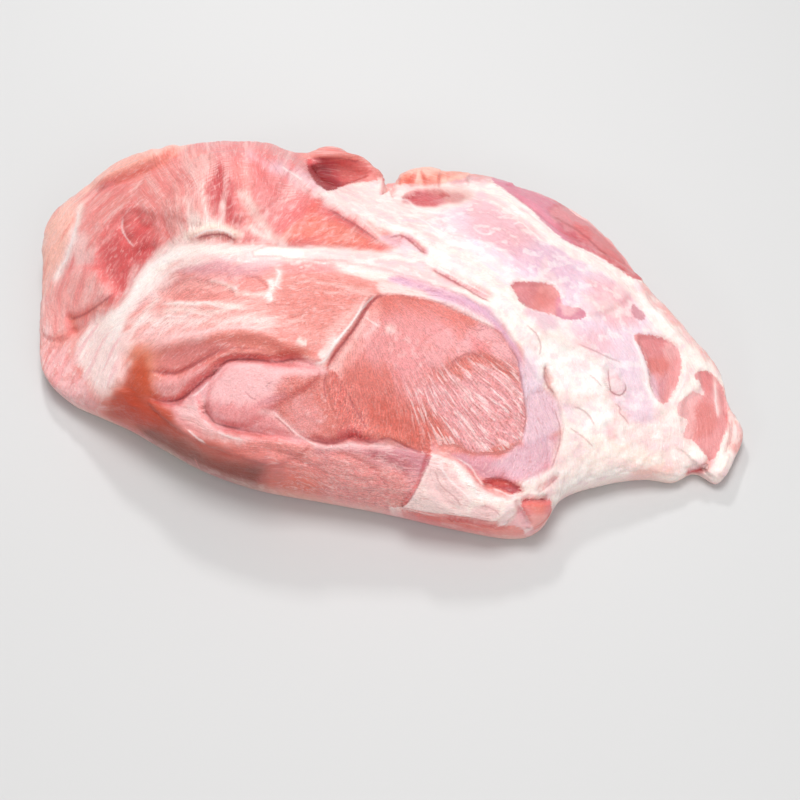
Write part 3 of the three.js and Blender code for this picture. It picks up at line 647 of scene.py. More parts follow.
def tuck_rows(turns):
    """Rings below the rim: a quarter ellipse, tuck wide and belly high, along the inward normal of the
    plan, then flat rings towards the middle."""
    ox, oy, belly, _, tuck = outline_at(turns)
    step_x, step_y = np.roll(ox, -1) - np.roll(ox, 1), np.roll(oy, -1) - np.roll(oy, 1)
    length = np.hypot(step_x, step_y)
    inward = np.stack([-step_y / length, step_x / length], 1)
    rim = np.stack([ox, oy], 1)
    angle = (np.pi / 2 * np.arange(1, TUCK_RINGS + 1) / TUCK_RINGS)[:, None, None]
    flat = rim + inward * tuck[:, None] * (1 - np.cos(angle))
    height = belly[None, :, None] * (1 - np.sin(angle))
    rows = np.concatenate([flat, height], 2)
    share = (1 - np.arange(1, BASE_RINGS + 1) / (BASE_RINGS + 1))[:, None, None]
    base = MIDDLE + (flat[-1] - MIDDLE) * share
    return np.concatenate([rows, np.concatenate([base, np.zeros_like(base[..., :1])], 2)])


border = rim_walk(*way.shape)
under = tuck_rows(turn[border[:, 0], border[:, 1]])
print("under the rim", under.shape[0], "rings of", under.shape[1])

# %% The closed mesh
def closed_faces(shape, border, rings):
    """Four-sided cells of the top grid and of the rings under it, and a fan to the middle of the base."""
    ids = np.arange(shape[0] * shape[1]).reshape(shape)
    cells = [np.stack([ids[:-1, :-1], ids[:-1, 1:], ids[1:, 1:], ids[1:, :-1]], -1).reshape(-1, 4)]
    ring = ids[border[:, 0], border[:, 1]]
    for k in range(rings):
        below = ids.size + k * len(ring) + np.arange(len(ring))
        cells.append(np.stack([ring, below, np.roll(below, -1), np.roll(ring, -1)], -1))
        ring = below
    middle = ids.size + rings * len(ring)
    return np.vstack(cells), np.stack([ring, np.full(len(ring), middle), np.roll(ring, -1)], -1)


vertices = np.vstack([surface.reshape(-1, 3), under.reshape(-1, 3), [[*MIDDLE, 0]]])
quads, fan = closed_faces(way.shape, border, len(under))
TOP_COUNT = way.size
print(len(vertices), "points,", 2 * len(quads) + len(fan), "triangles")

# %% Inside the frame's box
# The plan has an origin of its own, and the frame's origin is under the middle of the roast.
SHIFT = np.array([9.0, -13.0, 0])
# millimetres left free inside the box
SPARE = 0.2
BOX_LOW, BOX_HIGH = np.array(cad_low) * 1000, np.array(cad_high) * 1000


def fitted(points):
    """Points moved to the frame's origin. Each side that still stands past the box, less a hair to spare,
    is scaled down by the ratio of the box to it."""
    moved = points + SHIFT
    low, high = moved.min(0), moved.max(0)
    upper, lower = (BOX_HIGH - SPARE) / high, (BOX_LOW + SPARE) / np.minimum(low, -1e-6)
    scale = np.minimum(1, np.minimum(upper, lower))
    scale[2] = min(1, upper[2])
    return moved * scale


placed = fitted(vertices)
print("box in mm", placed.min(0).round(1), placed.max(0).round(1), "in", BOX_LOW.round(1), BOX_HIGH.round(1))

# %% [markdown]
# ## Painting the meat
# Raw pork runs from deep coral muscle to pink membrane and cream fat, with no sharp borders: colour
# feathers along the fibres. A texture from a picture is one way. Here washes are laid over each other as
# a painter would lay them: each has a colour, a closed outline on the map, and an edge that is frayed
# by the noise of the fibres. The result is stored as a colour at every point of the mesh.

# %% Colours of the meat
COLOURS = {
    "coral": (236, 160, 153), "pale coral": (243, 180, 174), "deep coral": (221, 128, 118),
    "brown coral": (219, 130, 120), "rose": (231, 146, 146), "red": (228, 112, 112),
    "deep red": (205, 84, 88), "dark maroon": (150, 40, 52), "dark slit": (150, 78, 68),
    "salmon": (252, 197, 182), "orange": (238, 140, 118), "hot orange": (228, 104, 84),
    "burnt": (198, 84, 50), "amber": (222, 142, 112), "brown": (124, 58, 30), "dark brown": (122, 58, 34),
    "membrane": (247, 194, 195), "pink": (240, 182, 186), "pale pink": (248, 208, 207),
    "lilac": (220, 174, 196), "pale lilac": (238, 213, 225), "mauve": (214, 160, 170),
    "deep mauve": (204, 130, 140), "cream": (253, 237, 230), "white": (255, 246, 242),
    "warm white": (252, 232, 218), "pinkish white": (251, 224, 220), "side red": (210, 120, 127),
    "side mauve": (220, 150, 168), "window": (233, 168, 168), "grey pink": (216, 168, 160),
}


def linear(colour):
    """A screen colour of 0 to 255 as light: ((c + 0.055) / 1.055)^2.4 above a small foot."""
    c = np.asarray(colour, float) / 255
    return np.where(c <= 0.04045, c / 12.92, ((c + 0.055) / 1.055)**2.4)


print(len(COLOURS), "colours")

# %% Paint places
# The map is bent a little by noise, so that no border runs too smoothly.
paint_p, paint_q = drawn(surface.reshape(-1, 3))
bend = [layered(paint_p / 9, paint_q / 9, seed=s) for s in (6, 7)]
BEND, FRAY_GAIN = 1.1, 1.6
bent_p, bent_q = paint_p + BEND * bend[0], paint_q + BEND * bend[1]
frays = {
    "flow": layered(fibre_u / 17, fibre_v / 1.7, seed=8),
    "soft": layered(paint_p / 6, paint_q / 6, seed=11),
    "grain": layered(paint_p / 1.8, paint_q / 1.8, seed=12),
    "broad": layered(paint_p / 14, paint_q / 14, seed=13),
}
colour = np.tile(linear(COLOURS["coral"]), (len(paint_p), 1))


def lay(amount, name):
    """The colour moves towards the named one by an amount from 0 to 1 at each point."""
    global colour
    colour = colour + (linear(COLOURS[name]) - colour) * np.clip(amount, 0, 1)[:, None]


def wash(name, strength, soft, fray, kind, points):
    """Strength * smooth(-soft, soft, depth inside the outline + fray * noise * gain)."""
    depth = depth_inside(bent_p, bent_q, points, 2 * soft + fray)
    lay(strength * smooth(-soft, soft, depth + fray * frays[kind] * FRAY_GAIN), name)


def inside(points, soft):
    """The region's mask on the bent map."""
    return region(bent_p, bent_q, points, soft)


def strands(name, strength, mask, kind, width):
    """Thin lines where the noise crosses zero: strength * exp(-(noise / width)^2) inside a mask."""
    lay(strength * mask * np.exp(-(frays[kind] / width)**2), name)


def streaks(name, strength, mask, kind, low, high):
    """Broad streaks where the noise is high: strength * smooth(low, high, noise) inside a mask."""
    lay(strength * mask * smooth(low, high, frays[kind]), name)


print("noise from", round(float(frays["flow"].min()), 2), "to", round(float(frays["flow"].max()), 2))

# %% [markdown]
# ## The high lobe at the rear left
# Its fibres rise from the fascia like a fan, so white streaks and red streaks fan out with them. The
# left face is the reddest meat of the whole cut, and a paler layer wraps its outer edge.

# %% Washes of the high lobe
LOBE_WASHES = [
    ("rose", 0.85, 1.5, 0.6, "flow", HIGH_LOBE),
    ("salmon", 0.9, 2.0, 1.0, "flow", [-160, 44, -160, 96, -136, 92, -131, 83, -135.5, 66, -142, 50, -147,
        44]),
    ("coral", 0.6, 3.0, 2.0, "flow", [-134, 90, -124, 88, -112, 82, -118, 72, -126, 62, -136, 60, -133, 74]),
    ("pale coral", 0.7, 4.0, 2.0, "flow", [-150, 28, -148, 48, -134, 56, -112, 44, -120, 34, -134, 27]),
    ("pinkish white", 0.5, 2.0, 1.2, "flow", [-135, 68, -129, 68, -127, 58, -133, 55]),
    ("deep coral", 0.4, 4.0, 2.0, "flow", [-122, 82, -108, 92, -100, 88, -106, 80]),
    ("red", 0.55, 3.0, 2.0, "flow", [-126, 56, -124, 68, -116, 78, -104, 80, -90, 67, -98, 62, -106, 54,
        -111, 45, -117, 40, -122, 46]),
    ("deep red", 0.45, 3.0, 2.0, "flow", [-123, 62, -117, 68, -110, 66, -100, 66, -95, 63, -104, 57, -113,
        45, -118, 50]),
    ("deep red", 0.45, 1.5, 1.0, "flow", [-109, 72, -104, 73, -102, 70, -104, 66.5, -109, 67, -111, 69]),
    ("coral", 0.6, 5.0, 2.5, "flow", [-102, 70, -110, 92, -96, 102, -82, 100, -80, 80, -86, 68, -96, 66]),
    ("deep coral", 0.4, 4.0, 2.0, "flow", [-90, 99, -72, 100, -66, 88, -76, 80, -88, 86]),
    ("pale coral", 0.6, 4.0, 2.6, "flow", [-94, 68, -96, 78, -90, 90, -80, 84, -76, 74, -68, 70]),
    ("cream", 0.75, 2.4, 2.0, "flow", [-88, 72, -84, 77, -70, 71.5, -66, 68, -80, 69, -90, 66.5]),
    ("rose", 0.5, 4.0, 2.0, "flow", [-90, 100, -70, 104, -54, 92, -52, 78, -66, 80, -74, 86, -84, 84]),
    ("deep red", 0.9, 2.2, 1.6, "flow", [-76, 97, -79, 88, -77, 80, -73, 73, -67, 70, -66, 76, -71, 97]),
    ("coral", 0.7, 3.0, 2.0, "flow", [-70, 98, -64, 72, -58, 74, -61, 86, -62, 98]),
    ("coral", 0.6, 3.0, 2.0, "flow", [-90, 101, -80, 102, -80, 90, -88, 90]),
    ("red", 0.65, 4.0, 2.5, "flow", [-52, 66, -48, 80, -40, 84, -28, 78, -6, 62.5, -30, 63.5]),
    ("orange", 0.6, 3.0, 2.5, "flow", [-50, 66, -42, 74, -32, 76, -4, 62, -30, 63]),
    ("hot orange", 0.55, 1.6, 1.0, "soft", [-39, 80, -35, 83, -32.5, 82, -34, 78, -37, 73.5, -38.5, 76]),
    ("red", 0.6, 2.0, 1.0, "flow", [-28, 80, -12, 69, -16, 69, -31, 78]),
    ("pale lilac", 0.6, 3.0, 2.0, "flow", [-62, 103, -44, 97, -36, 92, -30, 86, -36, 86, -46, 92, -58, 97]),
    ("pinkish white", 0.7, 2.0, 1.6, "flow", [-48, 97, -40, 92, -34, 86, -22, 80, -12, 72, -2, 66, -8, 66,
        -18, 74, -38, 86]),
]
for row in LOBE_WASHES:
    wash(*row)
lobe_mask = inside(HIGH_LOBE, 1.5)
streaks("pinkish white", 0.45, lobe_mask, "flow", 0.18, 0.6)
streaks("red", 0.35, lobe_mask, "flow", -0.15, -0.5)
strands("pale pink", 0.4, lobe_mask, "flow", 0.05)
print(len(LOBE_WASHES), "washes on the high lobe")

# %% [markdown]
# ## Lines drawn with a fine brush
# Ends of membranes show as thin white lines, and creases as dark red ones, partly the meat's own red and
# partly painted shade; a few short pale strokes are painted glints of the wet surface.
# They are laid after the washes, each as a path with a width, so a border can be sharper than its wash.

# %% Brush lines
BRUSH_TAIL = 0.15
# lines and rims are bent half as much as the washes
half_p, half_q = (bent_p + paint_p) / 2, (bent_q + paint_q) / 2


def brush(name, strength, half, points):
    """Strength * exp(-(distance / half)^2), faded over the tail at both ends of the path."""
    lay(strength * line_mask(half_p, half_q, half, points, BRUSH_TAIL), name)


LOBE_LINES = [
    ("cream", 0.8, 1.3, [-131, 82, -132.5, 78, -133, 71]),
    ("white", 0.85, 1.5, [-133.5, 74, -135, 66, -140, 54, -144, 48]),
    ("warm white", 0.95, 2.0, [-90, 66.6, -80, 71, -74, 71, -69, 69.5, -65, 66]),
    ("cream", 0.7, 0.9, [-80, 71, -79.5, 76, -81, 84, -82, 92]),
    ("cream", 0.4, 1.2, [-85, 71, -86.5, 78, -90, 85]),
    ("cream", 0.6, 1.1, [-75, 72, -73, 77, -73, 83]),
    ("cream", 0.9, 1.9, [-50, 64.5, -59, 76, -63, 82, -67, 89]),
    ("cream", 0.7, 1.5, [-46, 65, -54, 67, -60, 70, -62, 74]),
    ("deep red", 0.6, 1.3, [-110, 62, -104, 62, -99, 64]),
    ("hot orange", 0.5, 1.3, LINES["left crease"][2]),
    ("burnt", 0.6, 1.3, [-136, 36, -134.5, 31, -134, 27]),
    ("deep red", 0.5, 1.1, [-126, 42.5, -121, 42.5, -118, 42]),
    # dark line in the slit under the white lip: its own brown-red, deepened as painted shade
    ("dark slit", 0.5, 0.9, [-85, 66.2, -80, 67.6, -75, 68.3, -70, 67, -66.5, 65.4]),
    ("orange", 0.5, 1.2, [-119, 89.5, -108, 94, -100, 97.5, -94, 101.5]),
    ("hot orange", 0.6, 1.2, [-96, 104, -93, 102.5, -92, 100.5]),
    ("deep red", 0.6, 0.9, [-31, 79, -24, 75.5, -18, 71.5, -12, 67]),
]
for row in LOBE_LINES:
    brush(*row)
wash("salmon", 0.75, 1.2, 0.8, "soft", [-130, 86, -120, 90.5, -108, 95.5, -98, 99.5, -88, 104.5, -84, 110,
    -100, 108, -120, 101, -134, 92])
wash("orange", 0.25, 1.4, 1.0, "soft", [-121, 90, -112, 93, -104, 97, -96, 100.5, -92, 104, -104, 101, -116,
    96])
print(len(LOBE_LINES), "brush lines on the high lobe")

# %% [markdown]
# ## The fascia and the central muscle
# A white sheet of fascia curves round the central muscle like a rind. Below it the muscle shows through
# gaps as coral windows, and a wet ridge of darker meat rolls towards the front.

# %% Washes of the middle
MIDDLE_WASHES = [
    ("pinkish white", 0.95, 1.6, 1.2, "flow", [-134, 20, -126, 33, -118, 38, -113, 44, -108, 53, -97, 63,
        -88, 65.5, -76, 65.5, -50, 64, -30, 63, -8, 61, 4, 58, 14, 52, 0, 50, -30, 53, -60, 56, -90, 57, -98,
        52, -112, 34, -116, 24, -118, 8, -126, 6]),
    ("cream", 0.75, 2.2, 1.6, "flow", [-126, 31, -117, 37, -107, 51, -102, 57, -96, 61, -84, 64, -60, 63,
        -70, 60, -88, 59, -98, 53, -112, 36, -122, 27]),
    ("cream", 0.6, 1.6, 1.0, "flow", [-102, 60, -96, 66, -86, 67.5, -78, 65, -92, 61]),
    ("mauve", 0.7, 2.0, 1.8, "flow", [-94, 54, -82, 57.5, -62, 56.5, -50, 54, -60, 51.5, -80, 52]),
    ("pale pink", 0.95, 2.0, 2.0, "flow", [-64, 62.5, -40, 63, -24, 62, -8, 60, 4, 57, -8, 55, -34, 57, -60,
        58]),
    ("cream", 0.6, 1.2, 1.4, "flow", [-36, 57, -24, 56, -8, 53.5, -2, 51, -12, 50, -34, 55]),
    ("pale coral", 0.75, 4.0, 2.5, "flow", [-108, 40, -98, 46, -80, 48, -60, 46, -44, 36, -40, 26, -60, 28,
        -84, 28, -104, 24, -112, 28]),
    ("pink", 0.5, 3.0, 2.0, "flow", [-112, 34, -104, 44, -92, 51, -70, 52, -58, 50, -70, 48, -90, 49, -104,
        40]),
    ("coral", 0.95, 1.5, 1.5, "flow", [-49, 55, -44, 57.5, -28, 54, -12, 47.5, -6, 44, -12, 41, -22, 29, -28,
        23, -36, 21, -50, 27, -56, 34, -52, 44]),
    ("brown coral", 0.75, 4.0, 3.0, "flow", [-46, 52, -24, 50, -12, 45, -18, 37, -30, 28, -46, 32, -52, 42]),
    ("pale coral", 0.85, 1.6, 1.2, "soft", [-14, 42, -20, 39, -25, 35, -32, 25, -28, 22, -22, 28, -16, 36]),
    ("coral", 0.6, 1.4, 1.6, "flow", [-104, 38, -88, 39, -70, 39, -54, 38, -54, 36, -70, 36, -88, 36, -100,
        34]),
    ("pinkish white", 0.85, 3.0, 2.0, "flow", [-112, 32, -98, 36, -80, 34, -60, 35, -52, 33, -60, 31, -84,
        31, -98, 30]),
    ("brown coral", 0.72, 3.0, 1.2, "flow", [-110, 20, -88, 25, -74, 27, -60, 28, -50, 26, -34, 19, -44, 17,
        -72, 19, -88, 11.5, -102, 12]),
    ("pale pink", 0.5, 3.0, 2.0, "flow", [-108, 28, -96, 30, -80, 30, -82, 25, -98, 21, -106, 21]),
    ("orange", 0.25, 2.6, 1.6, "flow", [-78, 27.5, -66, 29, -54, 27, -38, 19.5, -48, 18.5, -62, 22, -76, 24]),
    ("rose", 0.45, 2.4, 1.5, "flow", [-102, 13, -90, 12.5, -70, 21, -74, 24, -100, 18]),
    ("brown coral", 0.3, 1.6, 0.8, "flow", [-105, 10, -94, 10, -86, 12, -78, 17.5, -68, 20, -52, 18, -62,
        17.2, -72, 15, -86, 4.5, -94, 0, -102, 1]),
    ("pinkish white", 0.8, 2.6, 1.6, "flow", [-128, 26, -113, 28, -110, 20, -113, 12, -113, 4, -126, 2]),
    ("rose", 0.65, 2.0, 1.0, "flow", [-50, 59, -38, 60, -26, 57.4, -30, 53, -48, 53]),
    ("coral", 0.6, 2.0, 1.5, "flow", [-80, 44, -66, 44, -56, 41, -58, 37, -76, 38]),
    ("pinkish white", 0.6, 2.0, 1.0, "flow", [-105, 46, -98, 51, -92, 52, -95, 47, -102, 41]),
    ("pink", 0.45, 2.0, 1.5, "grain", [-104, 8, -92, 10, -83, 15, -79, 11, -90, 3, -102, 2]),
    ("pink", 0.5, 1.4, 1.4, "flow", [-84, 60, -64, 59.6, -50, 59, -62, 57.8, -80, 58]),
    # orange-brown left end of the ridge; its darker brown core is partly painted shade
    ("amber", 0.75, 4.0, 1.6, "soft", [-111, 21, -104, 22, -100, 15, -104, -6, -116, -8, -114, 4, -111, 12]),
    ("burnt", 0.7, 3.6, 2.0, "soft", [-108, 18, -104, 16, -104, -4, -114, -6, -109, 10]),
    ("brown", 0.4, 2.2, 0.8, "soft", [-113, 4, -107, 4, -104, -4, -116, -6]),
]
for row in MIDDLE_WASHES:
    wash(*row)
band = inside(MIDDLE_WASHES[0][5], 1.5)
streaks("pink", 0.55, band, "flow", 0.05, 0.4)
strands("white", 0.5, band, "flow", 0.06)
field = inside([-108, 40, -98, 48, -60, 50, -30, 50, -10, 42, -28, 22, -50, 28, -84, 28, -110, 24], 2.5)
streaks("pinkish white", 0.35, field, "flow", 0.2, 0.6)
strands("pale pink", 0.2, field, "flow", 0.05)
# pale grain flecks: painted highlights of the wet surface near the ridge top
streaks("pale pink", 0.25, field, "grain", 0.25, 0.55)
print(len(MIDDLE_WASHES), "washes on the middle")

# %% Lines of the middle
MIDDLE_LINES = [
    ("white", 0.9, 2.0, [-124, 30, -116, 36, -111, 42, -106, 50, -101, 56, -94, 60, -84, 62]),
    ("white", 0.6, 1.4, [-119, 22, -116, 30, -104, 45, -98, 51, -90, 56, -76, 58]),
    ("white", 0.5, 1.0, [-112, 24, -108, 32, -102, 40, -98, 44]),
    ("cream", 0.75, 1.2, [-98, 40.5, -88, 40, -79, 40.6, -70, 39.2, -62, 38.6]),
    ("cream", 0.6, 1.0, [-100, 37, -90, 37.5, -80, 36.5, -68, 38]),
    ("cream", 0.6, 0.9, [-80, 49.6, -73, 48, -68, 45.6, -67, 42]),
    ("white", 0.8, 1.4, [-54, 51, -53, 47, -54.5, 43.5, -52.5, 40.5]),
    ("white", 0.6, 1.2, [-49, 55, -50, 51, -51, 47]),
    ("cream", 0.5, 0.9, [-66, 44, -60, 43.6, -55, 44.5]),
    # painted glint where the wet ridge shines
    ("cream", 0.95, 1.5, [-42.5, 25.5, -40, 23.8, -38, 23.6]),
    ("pinkish white", 0.9, 1.2, [-46, 17.5, -40, 17.2, -35, 15, -31.5, 16, -23.5, 27, -18.5, 33, -15, 39.5,
        -9, 44.5]),
    ("white", 0.8, 1.3, [-33, 18, -29, 22, -25, 26.5]),
    ("cream", 0.6, 1.3, [-30, 12.5, -36, 12, -44, 10]),
    # deep red lines along the cross crease and the long crease: partly the meat's red, partly painted shade
    # under the overhang
    ("deep red", 0.7, 0.7, [-33, 12.5, -29.5, 13.8, -19.5, 28.5, -15.5, 35.5, -11.5, 41, -6, 43.6]),
    ("deep red", 0.6, 0.9, [-104, 1.2, -100, 0, -94, -0.6, -90, 0.5, -80, 9, -77, 10.6, -74, 14, -70, 16.3,
        -62, 17, -50, 15.8, -42, 16.6, -31, 13]),
    ("burnt", 0.5, 1.6, [-52, 17.4, -46, 19, -40, 19.4, -35, 18]),
    ("pale pink", 0.6, 0.9, [-100, 24, -88, 27, -74, 29.6, -60, 30, -50, 28]),
]
for row in MIDDLE_LINES:
    brush(*row)
print(len(MIDDLE_LINES), "lines on the middle")

# %% [markdown]
# ## The front: membrane, low wall and oval muscle
# A thin wet membrane bulges over the front left, and the low wall under it is warm brown meat with painted
# shade laid over it. The big oval muscle shows its cut fibres, with painted glints on their tops. These lie
# lower than the fascia, so they are painted next.

# %% Washes of the front
FRONT_WASHES = [
    ("pink", 0.9, 2.0, 1.0, "flow", [-106, 1, -92, 0, -84, 5, -70, 16, -50, 16, -32, 13, -30, -10, -10, -18,
        14, -20, 12, -30, 0, -48, -40, -44, -86, -30, -106, -8]),
    ("membrane", 0.9, 2.0, 1.0, "flow", [-78, 9, -70, 16, -50, 15.5, -32, 12, -48, 4, -60, -3, -72, -2, -79,
        0]),
    ("rose", 0.75, 3.0, 2.0, "flow", [-78, -1, -66, -2, -54, 0, -42, -15, -56, -13, -70, -10, -79, -6]),
    ("brown coral", 0.25, 3.0, 2.0, "flow", [-94, 0, -84, -2, -76, -12, -60, -16, -46, -20, -60, -23, -76,
        -19, -90, -9]),
    ("coral", 0.75, 2.5, 2.0, "flow", [-76, -14, -60, -15, -44, -18, -36, -22, -50, -28, -62, -24, -74, -19]),
    ("mauve", 0.6, 3.0, 1.5, "flow", [-62, -25, -50, -26, -44, -36, -30, -39, -36, -44, -60, -38]),
    # the low wall's warm orange-brown meat, painted darker still as shade where it lies in shadow
    ("dark brown", 0.55, 6.0, 1.0, "soft", [-118, -10, -104, -10, -92, -19, -78, -26, -64, -30, -58, -36,
        -70, -44, -122, -30]),
    ("brown", 0.75, 5.0, 1.0, "soft", [-114, 2, -98, -7, -82, -19, -60, -26, -56, -31, -64, -40, -90, -40,
        -122, -22]),
    ("burnt", 0.6, 3.0, 1.2, "soft", [-116, 3, -100, -4, -86, -15, -94, -16, -106, -10, -120, -6]),
    ("burnt", 0.5, 2.0, 1.0, "soft", [-88, -14, -70, -21, -62, -23, -70, -24.5, -80, -22]),
    ("coral", 0.6, 3.0, 2.0, "soft", [-44, -18, -20, -20, -4, -22, 4, -32, 0, -46, -26, -42, -44, -36]),
    ("mauve", 0.6, 2.0, 1.5, "flow", [-34, -18, -16, -19, 0, -20, 14, -24, 8, -33, -20, -23, -34, -22]),
    ("deep mauve", 0.75, 2.0, 1.0, "soft", [-14, -21, 6, -21, 14, -24, 10, -31, -8, -25]),
    ("deep coral", 0.85, 2.0, 2.0, "soft", [-46, 8, -38, 9, -31, 12, -24, 12, -20, 4, -14, -10, -16, -16,
        -30, -17, -42, -14, -50, -4]),
    ("deep coral", 0.8, 2.6, 1.6, "soft", [-34, 0, -24, 4, -17, 0, -6, -15, -24, -16, -36, -14, -40, -6]),
    # orange-brown left end of the ridge, its dark core partly painted shade
    ("burnt", 0.85, 3.4, 1.6, "soft", [-112, 12, -104, 13, -99, 2, -94, -8, -110, -12, -122, -4]),
    # pale grain specks: painted glints where the wet membrane shines
    ("pale pink", 0.6, 1.2, 1.6, "grain", [-92, -3, -84, -1, -80, -8, -74, -13, -64, -16, -68, -18, -80, -14,
        -88, -9]),
    ("pink", 0.6, 3.0, 2.0, "flow", [-128, 4, -120, -6, -110, -10, -112, -20, -128, -16, -142, 0, -148, 16,
        -140, 22]),
]
for row in FRONT_WASHES:
    wash(*row)
# painted shade: the low front-left wall lies in shadow, so its green and blue are taken down
wall_shade = inside([-120, -2, -107, -3, -97, -9, -84, -16, -72, -21, -58, -25, -40, -31, -34, -38, -50, -50,
    -124, -40], 8.0)
colour = colour * (1 - wall_shade[:, None] * [0, 0.4, 0.55])
oval_mask = inside(OVAL_MUSCLE, 1.0)
cut_fibres = oval_mask * inside([2, 2, 16, 12, 34, 16, 54, 12, 58, -10, 48, -26, 22, -22, 8, -10], 6.0)
front_wall = inside([-62, -16, -44, -18, -16, -20, 2, -24, 8, -34, 2, -50, -90, -40], 2.0)
ragged = inside([-48, 10, -34, 9, -24, 12, -18, 2, -10, -14, -20, -17, -42, -15, -52, -4], 2.5)
# pale pink flecks: painted highlights on the wet facets of the ragged patch
streaks("pale pink", 0.4, ragged, "grain", 0.3, 0.5)
streaks("deep red", 0.5, ragged, "grain", -0.1, -0.45)
lay(0.7 * ragged, "deep coral")
corner = inside([-150, 28, -136, 26, -124, 0, -112, -10, -112, -26, -152, -20], 4.0)
streaks("pale pink", 0.6, corner, "flow", 0.0, 0.35)
streaks("deep coral", 0.35, corner, "grain", -0.1, -0.45)
strands("white", 0.4, corner, "flow", 0.05)
wash("pink", 0.35, 3.0, 2.5, "grain", [-46, 0, -38, 0, -32, -6, -33, -13, -44, -13])
# more pale flecks, painted highlights of the wet facets
streaks("pale pink", 0.4, ragged, "grain", 0.42, 0.7)
strands("deep mauve", 0.25, front_wall, "soft", 0.08)
# painted shade: the front wall faces away from the light, so its colour is taken down
colour = colour * (1 - front_wall[:, None] * [0.02, 0.15, 0.17])
print(len(FRONT_WASHES), "washes on the front")

# %% Lines of the front
FRONT_LINES = [
    ("pale pink", 0.8, 1.1, [-81, 3, -81.5, -4, -79, -8.5, -72, -12.5]),
    ("deep mauve", 0.5, 0.8, [-61, -3, -54, 0, -46, 2]),
    ("deep red", 0.8, 1.6, [-38, -15.5, -31, -17.8, -25, -17, -20, -15, -15, -17.5, -10, -17, -4, -18]),
    ("deep red", 0.6, 2.2, [-27, -14.5, -20, -13.5, -15, -14.5]),
    ("pale pink", 0.7, 1.5, [-40, -16, -30, -19.5, -20, -18.5, 0, -20]),
    ("pale pink", 0.6, 1.6, [-60, -5, -52, -6, -45, -12, -40, -16]),
    ("rose", 0.8, 1.1, [13, -18, 13.5, -20.5, 11, -23]),
    ("deep coral", 0.6, 1.0, [22, -19.5, 30, -22, 38, -21.5, 42, -22.6, 47, -19]),
    ("pale pink", 0.5, 1.2, [-10, -23, -4, -27, 2, -30]),
]
for row in FRONT_LINES:
    brush(*row)
print(len(FRONT_LINES), "lines on the front")

# %% [markdown]
# ## Meat that shows through openings
# The oval muscle, the red windows in the fat and the side muscle have crisp rims. Colours stored at the
# points of a mesh would blur there, because the cells are almost a millimetre wide. So two whole
# paintings are stored: the tissue on top, and the meat under it, which runs on past each rim. The material
# picks one of them by the depth inside the openings, and a depth stays exact between the points.

